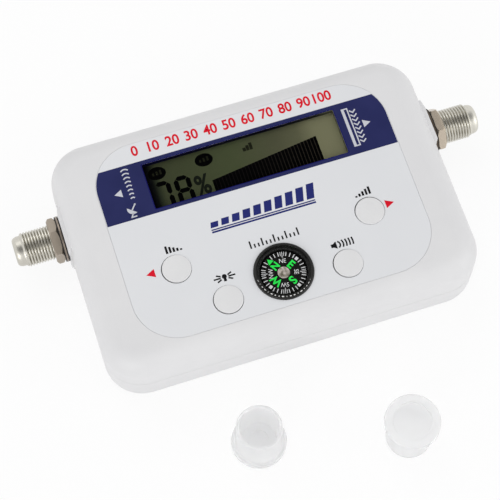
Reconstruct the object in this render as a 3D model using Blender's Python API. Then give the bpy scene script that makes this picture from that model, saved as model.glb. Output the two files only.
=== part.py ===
"""Satellite signal meter: a two-shell plastic case with a display, four push buttons, a compass,
two threaded coaxial ports and their loose dust caps.

The origin is the centre of the case's base. +X runs towards the right-hand port, +Y towards the
display side and +Z up. All lengths are in metres.
"""
import math

import bmesh
import bpy

# Overrun of every cut past the face it opens, overlap of every fused form, and welding distance
OVERRUN = 0.0006
FUSE_OVERLAP = 0.0005
WELD_DISTANCE = 0.0000001

# Gap between pieces that rest on each other
SEAT_GAP = 0.0003

# Case
CASE_LENGTH = 0.1044
CASE_DEPTH = 0.0690
CASE_HEIGHT = 0.0210
CASE_CORNER_RADIUS = 0.0105
TOP_FILLET = 0.0060
BASE_FILLET = 0.0025
SIDE_WALL = 0.0022
TOP_WALL = 0.0026
BASE_WALL = 0.0020
SEAM_HEIGHT = 0.0100
SEAM_GAP = 0.0003
DRAFT_DEGREES = 1.0
CAVITY_FILLET = 0.0038

# Tongue of the lower shell and the groove that takes it
TONGUE_WIDTH = 0.0008
TONGUE_HEIGHT = 0.0014
TONGUE_CLEARANCE = 0.0003

# Printed overlay in its recess
LABEL_SIDE_MARGIN = 0.0112
LABEL_FRONT_MARGIN = 0.0058
LABEL_CORNER_RADIUS = 0.0122
LABEL_THICKNESS = 0.0004

# Display window, set in from the label's ends; its centre is a share of the label's depth
WINDOW_END_MARGIN = 0.0137
WINDOW_DEPTH = 0.0136
WINDOW_Y_SHARE = 0.2631
WINDOW_CORNER_RADIUS = 0.0004
PANE_MARGIN = 0.0018
PANE_THICKNESS = 0.0007
PANE_CORNER_RADIUS = 0.0010

# Liquid crystal cell, its frame, light guide and contact strip
CELL_END_MARGIN = 0.0019
CELL_SIDE_MARGIN = 0.0026
CELL_THICKNESS = 0.0022
POLARISER_CLEARANCE = 0.0003
CELL_CORNER_RADIUS = 0.0004
FRAME_WALL = 0.0010
FRAME_SHELF = 0.0007
FRAME_CORNER_RADIUS = 0.0012
LIGHT_GUIDE_END_ROOM = 0.0004
LIGHT_GUIDE_STRIP_ROOM = 0.0012
CONTACT_STRIP_END_ROOM = 0.0018
CONTACT_STRIP_WIDTH = 0.0022

# Push buttons: the attenuators sit at shares of the label, the other two beside the compass
ATTENUATOR_X_SHARE = 0.3293
ATTENUATOR_Y_SHARE = -0.1707
FRONT_BUTTON_COMPASS_ROOM = 0.0019
FRONT_BUTTON_MARGIN = 0.0065
BUTTON_RADIUS = 0.00415
BUTTON_HOLE_CLEARANCE = 0.0003
BUTTON_PROUD = 0.0002
BUTTON_CROWN = 0.0003
BUTTON_EDGE_RADIUS = 0.0003
BUTTON_FLANGE_WIDTH = 0.0010
BUTTON_FLANGE_THICKNESS = 0.0010
BUTTON_STEM_RADIUS = 0.0022

# Switches under the buttons
SWITCH_WIDTH = 0.0060
SWITCH_HEIGHT = 0.0035
SWITCH_CORNER_RADIUS = 0.0005
PLUNGER_RADIUS = 0.00175
PLUNGER_LENGTH = 0.0027
PLUNGER_CLEARANCE = 0.0003
PLUNGER_DEPTH = 0.0012
SWITCH_WELL_DEPTH = 0.0020

# Compass capsule, its centre set in from the label's front edge
COMPASS_X = -0.0004
COMPASS_FRONT_MARGIN = 0.0095
CUP_RADIUS = 0.00805
CUP_HEIGHT = 0.0077
CUP_PROUD = 0.0007
CUP_RIM_WIDTH = 0.0008
CUP_STEP_DEPTH = 0.0011
CUP_WALL = 0.0016
CUP_FLOOR = 0.0010
CUP_RIM_RADIUS = 0.00035
CUP_CLEARANCE = 0.0003
DOME_WALL = 0.0007
DOME_RISE = 0.0009
CARD_THICKNESS = 0.0005
CARD_CLEARANCE = 0.0004
CARD_DROP = 0.0010
HUB_RADIUS = 0.00165
HUB_RISE = 0.00035
HUB_DROP = 0.0009
JEWEL_RADIUS = 0.0009
JEWEL_TIP_RADIUS = 0.0002
JEWEL_ROOF = 0.0004
PIVOT_FOOT_RADIUS = 0.0012
PIVOT_FOOT_HEIGHT = 0.0008
PIVOT_RADIUS = 0.00045
PIVOT_TIP_LENGTH = 0.0012
PIVOT_TIP_RADIUS = 0.00008
MAGNET_RADIUS = 0.0034
MAGNET_THICKNESS = 0.0008
WELL_WALL = 0.0012
WELL_FLOOR = 0.0012

# Threaded coaxial ports, whose axis lies at a share of the case's depth
PORT_Y_SHARE = 0.1797
THREAD_RADIUS = 0.0047625
THREAD_CHAMFER = 0.0004
PORT_HOLE_CLEARANCE = 0.0003
NOSE_RADIUS = 0.00415
NOSE_LENGTH = 0.0024
NOSE_ROUNDING = 0.0007
THREAD_PAST_NUT = 0.0079
PORT_BORE_RADIUS = 0.0029
PORT_FLANGE_RADIUS = 0.0059
PORT_FLANGE_THICKNESS = 0.0017
PORT_TAIL_RADIUS = 0.0030
PORT_TAIL_LENGTH = 0.0018
PORT_TAIL_BORE = 0.0013
NUT_FLATS = 0.0110
NUT_THICKNESS = 0.0024
NUT_CHAMFER = 0.0005
NUT_TURNS = {"left": 0.0, "right": 30.0}
WASHER_RADIUS = 0.0064
WASHER_THICKNESS = 0.0005
WASHER_CLEARANCE = 0.0003
INSULATOR_RECESS = 0.0004
INSULATOR_HOLE = 0.0011
CONTACT_RADIUS = 0.0008
CONTACT_SOCKET_RADIUS = 0.0005
CONTACT_SOCKET_DEPTH = 0.0030
CONTACT_RECESS = 0.0006
CONTACT_TAIL_RADIUS = 0.0005
CONTACT_TAIL_REACH = 0.0045
LAND_LENGTH = 0.0132
LAND_RISE = 0.00055
LAND_FOOT = 0.0028
LAND_TOP = 0.0172
LAND_END_SLOPE = 0.0007
LAND_ROOT = 0.0012

# Circuit board and what stands on it
BOARD_THICKNESS = 0.0016
BOARD_END_ROOM = 0.0022
BOARD_SIDE_ROOM = 0.0033
BOARD_CORNER_RADIUS = 0.0010
BOARD_BOSS_CLEARANCE = 0.0005
SHIELD_LENGTH = 0.0440
SHIELD_DEPTH = 0.0200
SHIELD_HEIGHT = 0.0042
SHIELD_WALL = 0.0004
SHIELD_CORNER_RADIUS = 0.0010
CHIP_LENGTH = 0.0100
CHIP_WIDTH = 0.0070
CHIP_HEIGHT = 0.0014
CHIP_CORNER_RADIUS = 0.0004
CHIP_Y_SHARE = -0.0517
BUZZER_SOUNDER_RADIUS = 0.0060
BUZZER_SOUNDER_HEADROOM = 0.0014
BUZZER_SOUNDER_EDGE = 0.0004
BUZZER_SOUNDER_HOLE = 0.0010
BUZZER_SOUNDER_HOLE_DEPTH = 0.0020
BUZZER_SOUNDER_BOSS_ROOM = (0.0068, 0.0078)
CAPACITOR_RADIUS = 0.0032
CAPACITOR_HEADROOM = 0.0019
CAPACITOR_EDGE = 0.0004
CAPACITOR_BOSS_ROOM = (0.0085, 0.0055)

# Case screws and their bosses
BOSS_SIDE_INSET = 0.0087
BOSS_FRONT_INSET = 0.0085
UPPER_BOSS_RADIUS = 0.0030
LOWER_BOSS_RADIUS = 0.0039
BOSS_SPLIT_HEIGHT = 0.0078
CASE_SCREW_RADIUS = 0.0013
CASE_SCREW_LENGTH = 0.0105
CASE_SCREW_HEAD_RADIUS = 0.0026
CASE_SCREW_HEAD_HEIGHT = 0.0018
CASE_SCREW_POCKET = 0.0040
CASE_SCREW_TIP_ROOM = 0.0008
SCREW_CLEARANCE = 0.0003
BOSS_RIB_THICKNESS = 0.0010
BOSS_RIB_FOOT = 0.0045
DRIVE_SLOT_WIDTH_SHARE = 0.28
DRIVE_SLOT_LENGTH_SHARE = 1.30
DRIVE_SLOT_DEPTH_SHARE = 0.50
SCREW_HEAD_EDGE_SHARE = 0.25
SCREW_TIP_RADIUS_SHARE = 0.25

# Board screws and their posts
POST_END_INSET = 0.0078
POST_BACK_INSET = 0.0050
POST_FRONT_Y = -0.0005
POST_RADIUS = 0.0022
BOARD_SCREW_RADIUS = 0.0009
BOARD_SCREW_LENGTH = 0.0060
BOARD_SCREW_HEAD_RADIUS = 0.0018
BOARD_SCREW_HEAD_HEIGHT = 0.0012
BOARD_SCREW_TIP_ROOM = 0.0008

# Pillars of the lower shell that carry the board
PILLAR_RADIUS = 0.0016
PILLAR_END_INSET = 0.0180
PILLAR_FRONT_INSET = 0.0030

# Dust caps in front of the case: one stands mouth up, the other mouth down
LEFT_CAP_X = -0.0190
LEFT_CAP_FRONT_ROOM = 0.0211
RIGHT_CAP_X = 0.0193
RIGHT_CAP_FRONT_ROOM = 0.0318
CAP_HEIGHT = 0.0135
CAP_FLANGE_RADIUS = 0.0074
CAP_FLANGE_THICKNESS = 0.0014
CAP_ROOT_RADIUS = 0.0063
CAP_MOUTH_RADIUS = 0.0061
CAP_BORE_GRIP = 0.0001
CAP_BORE_MOUTH_EASE = 0.0004
CAP_END_WALL = 0.0016
CAP_DISH_RADIUS = 0.0052
CAP_DISH_DEPTH = 0.0006
CAP_EDGE_RADIUS = 0.0003
CAP_INNER_RING_RADIUS = 0.0026
CAP_INNER_RING_WIDTH = 0.0004
CAP_INNER_RING_HEIGHT = 0.0005

# Smoothness
CORNER_STEPS = 6
SMALL_CORNER_STEPS = 2
FILLET_STEPS = 5
ROUND_STEPS = 24
SMALL_ROUND_STEPS = 12
TINY_ROUND_STEPS = 8
ARC_STEPS = 3
SHARP_ANGLE_DEGREES = 35.0

# Heights and places that follow from the sizes above
PORT_HEIGHT = SEAM_HEIGHT
PORT_Y = CASE_DEPTH * PORT_Y_SHARE
PLATE_UNDERSIDE = CASE_HEIGHT - TOP_WALL
LABEL_LENGTH = CASE_LENGTH - 2 * LABEL_SIDE_MARGIN
LABEL_DEPTH = CASE_DEPTH - 2 * LABEL_FRONT_MARGIN
WINDOW_LENGTH = LABEL_LENGTH - 2 * WINDOW_END_MARGIN
WINDOW_CENTRE_Y = LABEL_DEPTH * WINDOW_Y_SHARE
CELL_LENGTH = WINDOW_LENGTH + 2 * CELL_END_MARGIN
CELL_DEPTH = WINDOW_DEPTH + 2 * CELL_SIDE_MARGIN
COMPASS_Y = COMPASS_FRONT_MARGIN - LABEL_DEPTH / 2
LABEL_BED = CASE_HEIGHT - LABEL_THICKNESS - SEAT_GAP
PANE_BED = LABEL_BED - PANE_THICKNESS - SEAT_GAP
LOWER_RIM = SEAM_HEIGHT - SEAM_GAP / 2
UPPER_RIM = SEAM_HEIGHT + SEAM_GAP / 2
WALL_INNER_X = CASE_LENGTH / 2 - SIDE_WALL
LAND_FACE_X = CASE_LENGTH / 2 + LAND_RISE
WASHER_X = LAND_FACE_X + SEAT_GAP
NUT_X = WASHER_X + WASHER_THICKNESS + SEAT_GAP
THREAD_END_X = NUT_X + NUT_THICKNESS + THREAD_PAST_NUT
PORT_TIP_X = THREAD_END_X + NOSE_LENGTH
FLANGE_FACE_X = WALL_INNER_X - SEAT_GAP
TAIL_X = FLANGE_FACE_X - PORT_FLANGE_THICKNESS
PORT_INNER_X = TAIL_X - PORT_TAIL_LENGTH
BOARD_TOP = PORT_HEIGHT - CONTACT_TAIL_RADIUS - SEAT_GAP
BOARD_UNDERSIDE = BOARD_TOP - BOARD_THICKNESS
BOARD_LENGTH = 2 * (PORT_INNER_X - BOARD_END_ROOM)
BOARD_DEPTH = CASE_DEPTH - 2 * (SIDE_WALL + BOARD_SIDE_ROOM)
STANDING = BOARD_TOP + SEAT_GAP
CELL_TOP = PLATE_UNDERSIDE - SEAT_GAP
CELL_UNDERSIDE = CELL_TOP - CELL_THICKNESS
SHELF_TOP = CELL_UNDERSIDE - SEAT_GAP
SWITCH_TOP = STANDING + SWITCH_HEIGHT
PLUNGER_FOOT = SWITCH_TOP - PLUNGER_DEPTH
PLUNGER_TOP = PLUNGER_FOOT + PLUNGER_LENGTH
CUP_TOP = CASE_HEIGHT + CUP_PROUD
CUP_BOTTOM = CUP_TOP - CUP_HEIGHT
CUP_STEP = CUP_TOP - CUP_STEP_DEPTH
CUP_INNER_RADIUS = CUP_RADIUS - CUP_WALL
CARD_TOP = CASE_HEIGHT - CARD_DROP
CARD_UNDERSIDE = CARD_TOP - CARD_THICKNESS
CARD_RADIUS = CUP_INNER_RADIUS - CARD_CLEARANCE
HUB_FOOT = CARD_UNDERSIDE - HUB_DROP
JEWEL_TOP = CARD_TOP + HUB_RISE - JEWEL_ROOF
WELL_RADIUS = CUP_RADIUS + CUP_CLEARANCE
WELL_OUTER_RADIUS = WELL_RADIUS + WELL_WALL
WELL_BED = CUP_BOTTOM - SEAT_GAP
BUTTON_FLANGE_RADIUS = BUTTON_RADIUS + BUTTON_FLANGE_WIDTH
ATTENUATOR_X = LABEL_LENGTH * ATTENUATOR_X_SHARE
ATTENUATOR_Y = LABEL_DEPTH * ATTENUATOR_Y_SHARE
FRONT_BUTTON_X = WELL_OUTER_RADIUS + BUTTON_FLANGE_RADIUS + FRONT_BUTTON_COMPASS_ROOM
FRONT_BUTTON_Y = FRONT_BUTTON_MARGIN - LABEL_DEPTH / 2
BUTTON_PLACES = {
    "attenuator_left": (-ATTENUATOR_X, ATTENUATOR_Y),
    "attenuator_right": (ATTENUATOR_X, ATTENUATOR_Y),
    "light": (-FRONT_BUTTON_X, FRONT_BUTTON_Y),
    "buzzer": (FRONT_BUTTON_X, FRONT_BUTTON_Y),
}
BOSS_X = CASE_LENGTH / 2 - BOSS_SIDE_INSET
BOSS_Y = CASE_DEPTH / 2 - BOSS_FRONT_INSET
POST_X = BOARD_LENGTH / 2 - POST_END_INSET
POST_BACK_Y = BOARD_DEPTH / 2 - POST_BACK_INSET
BOSS_PLACES = [(BOSS_X, BOSS_Y), (-BOSS_X, BOSS_Y), (-BOSS_X, -BOSS_Y), (BOSS_X, -BOSS_Y)]
POST_PLACES = [
    (POST_X, POST_BACK_Y),
    (-POST_X, POST_BACK_Y),
    (-POST_X, POST_FRONT_Y),
    (POST_X, POST_FRONT_Y),
]
BUZZER_SOUNDER_PLACE = (BOSS_X - BUZZER_SOUNDER_BOSS_ROOM[0], BUZZER_SOUNDER_BOSS_ROOM[1] - BOSS_Y)
CAPACITOR_PLACE = (CAPACITOR_BOSS_ROOM[0] - BOSS_X, CAPACITOR_BOSS_ROOM[1] - BOSS_Y)
LEFT_CAP_PLACE = (LEFT_CAP_X, -CASE_DEPTH / 2 - LEFT_CAP_FRONT_ROOM)
RIGHT_CAP_PLACE = (RIGHT_CAP_X, -CASE_DEPTH / 2 - RIGHT_CAP_FRONT_ROOM)
PORT_SIDES = {"left": -1, "right": 1}


def clear_scene():
    for item in list(bpy.data.objects):
        bpy.data.objects.remove(item, do_unlink=True)


def finish_material(name, colour, roughness, metallic=0.0, alpha=1.0):
    """Make a Principled material, or return the one already made under this name."""
    if name in bpy.data.materials:
        return bpy.data.materials[name]
    material = bpy.data.materials.new(name)
    material.use_nodes = True
    shader = material.node_tree.nodes["Principled BSDF"]
    shader.inputs["Base Color"].default_value = (*colour, 1.0)
    shader.inputs["Roughness"].default_value = roughness
    shader.inputs["Metallic"].default_value = metallic
    shader.inputs["Alpha"].default_value = alpha
    return material


def case_plastic():
    return finish_material("case_plastic", (0.78, 0.77, 0.78), 0.42)


def label_print():
    return finish_material("label_print", (0.74, 0.75, 0.78), 0.35)


def button_plastic():
    return finish_material("button_plastic", (0.76, 0.76, 0.77), 0.38)


def clear_plastic():
    return finish_material("clear_plastic", (0.95, 0.96, 0.97), 0.05, alpha=0.35)


def display_glass():
    return finish_material("display_glass", (0.16, 0.17, 0.10), 0.15)


def white_plastic():
    return finish_material("white_plastic", (0.85, 0.85, 0.84), 0.5)


def black_plastic():
    return finish_material("black_plastic", (0.015, 0.015, 0.016), 0.3)


def contact_rubber():
    return finish_material("contact_rubber", (0.35, 0.30, 0.28), 0.8)


def board_laminate():
    return finish_material("board_laminate", (0.03, 0.20, 0.07), 0.45)


def tinned_steel():
    return finish_material("tinned_steel", (0.62, 0.62, 0.60), 0.35, metallic=1.0)


def nickel_plate():
    return finish_material("nickel_plate", (0.72, 0.69, 0.62), 0.25, metallic=1.0)


def brass():
    return finish_material("brass", (0.70, 0.52, 0.28), 0.3, metallic=1.0)


def zinc_steel():
    return finish_material("zinc_steel", (0.55, 0.55, 0.56), 0.35, metallic=1.0)


def magnet_grey():
    return finish_material("magnet_grey", (0.20, 0.20, 0.21), 0.5)


def aluminium_can():
    return finish_material("aluminium_can", (0.70, 0.71, 0.73), 0.3, metallic=1.0)


def cap_polythene():
    return finish_material("cap_polythene", (0.84, 0.84, 0.86), 0.45)


def add_object(name, bm, material):
    """Turn a bmesh into a named object with outward faces and smooth shading."""
    bmesh.ops.recalc_face_normals(bm, faces=bm.faces[:])
    mesh = bpy.data.meshes.new(name)
    bm.to_mesh(mesh)
    bm.free()
    mesh.shade_smooth()
    mesh.set_sharp_from_angle(angle=math.radians(SHARP_ANGLE_DEGREES))
    piece = bpy.data.objects.new(name, mesh)
    bpy.context.scene.collection.objects.link(piece)
    if material is not None:
        mesh.materials.append(material)
    return piece


def add_guide(name, bm):
    """Make a hidden object that only cuts or fuses."""
    guide = add_object(name, bm, None)
    guide.hide_render = True
    guide.display_type = "WIRE"
    return guide


def apply_boolean(piece, guide, operation):
    modifier = piece.modifiers.new(guide.name, "BOOLEAN")
    modifier.operation = operation
    modifier.solver = "EXACT"
    modifier.object = guide


def cut(piece, guide):
    apply_boolean(piece, guide, "DIFFERENCE")


def fuse(piece, guide):
    apply_boolean(piece, guide, "UNION")


def rounded_rectangle(length, depth, radius, centre=(0.0, 0.0), inset=0.0, steps=SMALL_CORNER_STEPS):
    """Outline of a rectangle with round corners, drawn in by an inset, as (x, y) points."""
    corner = radius - inset
    half_x = length / 2 - radius
    half_y = depth / 2 - radius
    points = []
    for quarter, (sign_x, sign_y) in enumerate([(1, 1), (-1, 1), (-1, -1), (1, -1)]):
        for step in range(steps + 1):
            angle = math.radians(90) * (quarter + step / steps)
            x = centre[0] + sign_x * half_x + corner * math.cos(angle)
            y = centre[1] + sign_y * half_y + corner * math.sin(angle)
            points.append((x, y))
    return points


def circle(radius, steps, centre=(0.0, 0.0)):
    points = []
    for step in range(steps):
        angle = 2 * math.pi * step / steps
        points.append((centre[0] + radius * math.cos(angle), centre[1] + radius * math.sin(angle)))
    return points


def add_loft(bm, sections):
    """Skin level outlines, given from the lowest up as (outline, height), and cap both ends."""
    rings = []
    for outline, height in sections:
        rings.append([bm.verts.new((x, y, height)) for x, y in outline])
    for lower, upper in zip(rings, rings[1:]):
        for index in range(len(lower)):
            after = (index + 1) % len(lower)
            bm.faces.new((lower[index], lower[after], upper[after], upper[index]))
    bm.faces.new(rings[0][::-1])
    bm.faces.new(rings[-1])


def loft(sections):
    bm = bmesh.new()
    add_loft(bm, sections)
    return bm


def prism(outline, bottom, top):
    return loft([(outline, bottom), (outline, top)])


def prisms(outlines, bottom, top):
    """Several separate prisms between the same two heights, as one mesh."""
    bm = bmesh.new()
    for outline in outlines:
        add_loft(bm, [(outline, bottom), (outline, top)])
    return bm


def turned(profile, steps):
    """Spin a closed (radius, height) profile about Z; points on the axis are welded."""
    bm = bmesh.new()
    corners = [bm.verts.new((radius, 0.0, height)) for radius, height in profile]
    edges = []
    for index, corner in enumerate(corners):
        follower = corners[(index + 1) % len(corners)]
        on_axis = corner.co.x < WELD_DISTANCE and follower.co.x < WELD_DISTANCE
        if not on_axis:
            edges.append(bm.edges.new((corner, follower)))
    bmesh.ops.spin(
        bm,
        geom=corners + edges,
        cent=(0.0, 0.0, 0.0),
        axis=(0.0, 0.0, 1.0),
        angle=2 * math.pi,
        steps=steps,
        use_merge=True,
    )
    bmesh.ops.remove_doubles(bm, verts=bm.verts[:], dist=WELD_DISTANCE)
    return bm


def arc(centre, radius, start_degrees, end_degrees, steps=ARC_STEPS):
    """Points of an arc in a turned profile, both ends included."""
    points = []
    for step in range(steps + 1):
        angle = math.radians(start_degrees + (end_degrees - start_degrees) * step / steps)
        points.append((centre[0] + radius * math.cos(angle), centre[1] + radius * math.sin(angle)))
    return points


def cap_arc(radius, rim_height, crown_height, steps=ARC_STEPS):
    """Points of a shallow crown from its rim to the axis."""
    rise = crown_height - rim_height
    sphere = (radius ** 2 + rise ** 2) / (2 * rise)
    half_angle = math.asin(radius / sphere)
    points = []
    for step in range(steps + 1):
        angle = half_angle * (1 - step / steps)
        points.append((sphere * math.sin(angle), crown_height - sphere * (1 - math.cos(angle))))
    return points


def set_on_port_axis(piece, side):
    """Lay a piece turned about Z along the port's axis, with its +Z outward."""
    piece.rotation_euler = (0.0, math.radians(90) * side, 0.0)
    piece.location = (0.0, PORT_Y, PORT_HEIGHT)


def draft_inset(height):
    """How far a drafted wall has drawn in at a height, counted from the seam."""
    return abs(height - SEAM_HEIGHT) * math.tan(math.radians(DRAFT_DEGREES))


def case_outline(inset):
    return rounded_rectangle(CASE_LENGTH, CASE_DEPTH, CASE_CORNER_RADIUS, inset=inset, steps=CORNER_STEPS)


def wall_sections(start, end, inset, fillet):
    """Sections of a drafted wall from the seam side to a filleted end, lowest height first or last."""
    direction = 1 if end > start else -1
    sections = [(case_outline(inset + draft_inset(start)), start)]
    for step in range(FILLET_STEPS + 1):
        angle = math.radians(90) * step / FILLET_STEPS
        height = end - direction * fillet * (1 - math.sin(angle))
        rounding = fillet * (1 - math.cos(angle))
        sections.append((case_outline(inset + draft_inset(height) + rounding), height))
    return sections if direction > 0 else sections[::-1]


def port_land_outlines():
    """Flat land on each end wall for the port's washer, with sloped ends."""
    root_x = CASE_LENGTH / 2 - LAND_ROOT
    half = LAND_LENGTH / 2
    outlines = []
    for sign in PORT_SIDES.values():
        points = [
            (sign * root_x, PORT_Y - half),
            (sign * CASE_LENGTH / 2, PORT_Y - half),
            (sign * LAND_FACE_X, PORT_Y - half + LAND_END_SLOPE),
            (sign * LAND_FACE_X, PORT_Y + half - LAND_END_SLOPE),
            (sign * CASE_LENGTH / 2, PORT_Y + half),
            (sign * root_x, PORT_Y + half),
        ]
        outlines.append(points if sign > 0 else points[::-1])
    return outlines


def port_hole_guide(name):
    """Bar through both end walls along the ports' axis."""
    radius = THREAD_RADIUS + PORT_HOLE_CLEARANCE
    bm = bmesh.new()
    inner = TAIL_X - OVERRUN
    outer = LAND_FACE_X + OVERRUN
    outline = circle(radius, ROUND_STEPS)
    add_loft(bm, [(outline, inner), (outline, outer)])
    add_loft(bm, [(outline, -outer), (outline, -inner)])
    guide = add_guide(name, bm)
    set_on_port_axis(guide, 1)
    return guide


def boss_rib_outlines(root_radius):
    """Thin webs from each screw boss to the nearest end wall."""
    outlines = []
    for x, y in BOSS_PLACES:
        sign = 1 if x > 0 else -1
        near = abs(x) + root_radius - FUSE_OVERLAP
        far = WALL_INNER_X + FUSE_OVERLAP
        half = BOSS_RIB_THICKNESS / 2
        points = [
            (sign * near, y - half),
            (sign * far, y - half),
            (sign * far, y + half),
            (sign * near, y + half),
        ]
        outlines.append(points if sign > 0 else points[::-1])
    return outlines


def screw_hole_outlines(screw_radius, places):
    return [circle(screw_radius + SCREW_CLEARANCE, TINY_ROUND_STEPS, centre=place) for place in places]


def button_hole_outlines():
    radius = BUTTON_RADIUS + BUTTON_HOLE_CLEARANCE
    return [circle(radius, ROUND_STEPS, centre=place) for place in BUTTON_PLACES.values()]


def window_outline():
    centre = (0.0, WINDOW_CENTRE_Y)
    return rounded_rectangle(WINDOW_LENGTH, WINDOW_DEPTH, WINDOW_CORNER_RADIUS, centre=centre)


def pane_outline(growth):
    length = WINDOW_LENGTH + 2 * (PANE_MARGIN + growth)
    depth = WINDOW_DEPTH + 2 * (PANE_MARGIN + growth)
    return rounded_rectangle(length, depth, PANE_CORNER_RADIUS + growth, centre=(0.0, WINDOW_CENTRE_Y))


def label_outline(growth):
    length = LABEL_LENGTH + 2 * growth
    depth = LABEL_DEPTH + 2 * growth
    return rounded_rectangle(length, depth, LABEL_CORNER_RADIUS + growth, steps=CORNER_STEPS)


def make_upper_shell():
    """Top half of the case: drafted wall, round top edge, label bed, bosses, posts and compass well."""
    outer = loft(wall_sections(UPPER_RIM, CASE_HEIGHT, 0.0, TOP_FILLET))
    shell = add_object("upper_shell", outer, case_plastic())

    lands = prisms(port_land_outlines(), UPPER_RIM, LAND_TOP)
    fuse(shell, add_guide("upper_land_guide", lands))

    groove_inset = SIDE_WALL - TONGUE_WIDTH - TONGUE_CLEARANCE
    groove_top = LOWER_RIM + TONGUE_HEIGHT + TONGUE_CLEARANCE
    cavity = [(case_outline(groove_inset), UPPER_RIM - OVERRUN), (case_outline(groove_inset), groove_top)]
    cavity += wall_sections(groove_top, PLATE_UNDERSIDE, SIDE_WALL, CAVITY_FILLET)
    cavity_mesh = bmesh.new()
    add_loft(cavity_mesh, cavity)
    cut(shell, add_guide("upper_cavity_guide", cavity_mesh))

    well_centre = (COMPASS_X, COMPASS_Y)
    well_outer = circle(WELL_OUTER_RADIUS, ROUND_STEPS, centre=well_centre)
    well = prism(well_outer, WELL_BED - WELL_FLOOR, PLATE_UNDERSIDE + FUSE_OVERLAP)
    fuse(shell, add_guide("compass_well_guide", well))

    boss_foot = BOSS_SPLIT_HEIGHT + SEAT_GAP / 2
    bosses = prisms(
        [circle(UPPER_BOSS_RADIUS, SMALL_ROUND_STEPS, centre=place) for place in BOSS_PLACES],
        boss_foot,
        PLATE_UNDERSIDE + FUSE_OVERLAP,
    )
    fuse(shell, add_guide("upper_boss_guide", bosses))

    posts = prisms(
        [circle(POST_RADIUS, SMALL_ROUND_STEPS, centre=place) for place in POST_PLACES],
        STANDING,
        PLATE_UNDERSIDE + FUSE_OVERLAP,
    )
    fuse(shell, add_guide("board_post_guide", posts))

    rib_foot = groove_top + BOSS_RIB_THICKNESS
    ribs = prisms(boss_rib_outlines(UPPER_BOSS_RADIUS), rib_foot, PLATE_UNDERSIDE + FUSE_OVERLAP)
    fuse(shell, add_guide("upper_rib_guide", ribs))

    label_bed = prism(label_outline(SEAT_GAP), LABEL_BED, CASE_HEIGHT + OVERRUN)
    cut(shell, add_guide("label_bed_guide", label_bed))
    pane_bed = prism(pane_outline(SEAT_GAP), PANE_BED, CASE_HEIGHT + OVERRUN)
    cut(shell, add_guide("pane_bed_guide", pane_bed))

    through = prisms(
        button_hole_outlines() + [window_outline()],
        PLATE_UNDERSIDE - OVERRUN,
        CASE_HEIGHT + OVERRUN,
    )
    cut(shell, add_guide("upper_opening_guide", through))

    well_inner = circle(WELL_RADIUS, ROUND_STEPS, centre=well_centre)
    cut(shell, add_guide("compass_bore_guide", prism(well_inner, WELL_BED, CASE_HEIGHT + OVERRUN)))

    screw_tip = CASE_SCREW_POCKET - SEAT_GAP + CASE_SCREW_LENGTH
    boss_holes = prisms(
        screw_hole_outlines(CASE_SCREW_RADIUS, BOSS_PLACES),
        boss_foot - OVERRUN,
        screw_tip + CASE_SCREW_TIP_ROOM,
    )
    cut(shell, add_guide("upper_boss_hole_guide", boss_holes))

    post_tip = BOARD_UNDERSIDE - SEAT_GAP + BOARD_SCREW_LENGTH
    post_holes = prisms(
        screw_hole_outlines(BOARD_SCREW_RADIUS, POST_PLACES),
        STANDING - OVERRUN,
        post_tip + BOARD_SCREW_TIP_ROOM,
    )
    cut(shell, add_guide("post_hole_guide", post_holes))
    cut(shell, port_hole_guide("upper_port_guide"))


def make_lower_shell():
    """Bottom half of the case: drafted wall, tongue, screw bosses with head pockets, board pillars."""
    shell = add_object("lower_shell", loft(wall_sections(LOWER_RIM, 0.0, 0.0, BASE_FILLET)), case_plastic())

    tongue_inset = SIDE_WALL - TONGUE_WIDTH
    tongue_root = LOWER_RIM - FUSE_OVERLAP
    tongue = prism(case_outline(tongue_inset), tongue_root, LOWER_RIM + TONGUE_HEIGHT)
    fuse(shell, add_guide("tongue_guide", tongue))
    lands = prisms(port_land_outlines(), LAND_FOOT, LOWER_RIM)
    fuse(shell, add_guide("lower_land_guide", lands))

    cavity = loft([
        (case_outline(SIDE_WALL + draft_inset(BASE_WALL)), BASE_WALL),
        (case_outline(SIDE_WALL), SEAM_HEIGHT),
        (case_outline(SIDE_WALL), LOWER_RIM + TONGUE_HEIGHT + OVERRUN),
    ])
    cut(shell, add_guide("lower_cavity_guide", cavity))

    boss_top = BOSS_SPLIT_HEIGHT - SEAT_GAP / 2
    bosses = prisms(
        [circle(LOWER_BOSS_RADIUS, SMALL_ROUND_STEPS, centre=place) for place in BOSS_PLACES],
        BASE_WALL - FUSE_OVERLAP,
        boss_top,
    )
    fuse(shell, add_guide("lower_boss_guide", bosses))
    ribs = prisms(boss_rib_outlines(LOWER_BOSS_RADIUS), BASE_WALL - FUSE_OVERLAP, BASE_WALL + BOSS_RIB_FOOT)
    fuse(shell, add_guide("lower_rib_guide", ribs))

    pillar_x = BOARD_LENGTH / 2 - PILLAR_END_INSET
    pillar_y = -BOARD_DEPTH / 2 + PILLAR_FRONT_INSET
    pillars = prisms(
        [circle(PILLAR_RADIUS, TINY_ROUND_STEPS, centre=(sign * pillar_x, pillar_y)) for sign in (-1, 1)],
        BASE_WALL - FUSE_OVERLAP,
        BOARD_UNDERSIDE - SEAT_GAP,
    )
    fuse(shell, add_guide("board_pillar_guide", pillars))

    pocket_radius = CASE_SCREW_HEAD_RADIUS + SCREW_CLEARANCE
    pockets = prisms(
        [circle(pocket_radius, SMALL_ROUND_STEPS, centre=place) for place in BOSS_PLACES],
        -OVERRUN,
        CASE_SCREW_POCKET,
    )
    cut(shell, add_guide("screw_pocket_guide", pockets))
    holes = prisms(
        screw_hole_outlines(CASE_SCREW_RADIUS, BOSS_PLACES),
        CASE_SCREW_POCKET - OVERRUN,
        boss_top + OVERRUN,
    )
    cut(shell, add_guide("lower_screw_hole_guide", holes))
    cut(shell, port_hole_guide("lower_port_guide"))


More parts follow.
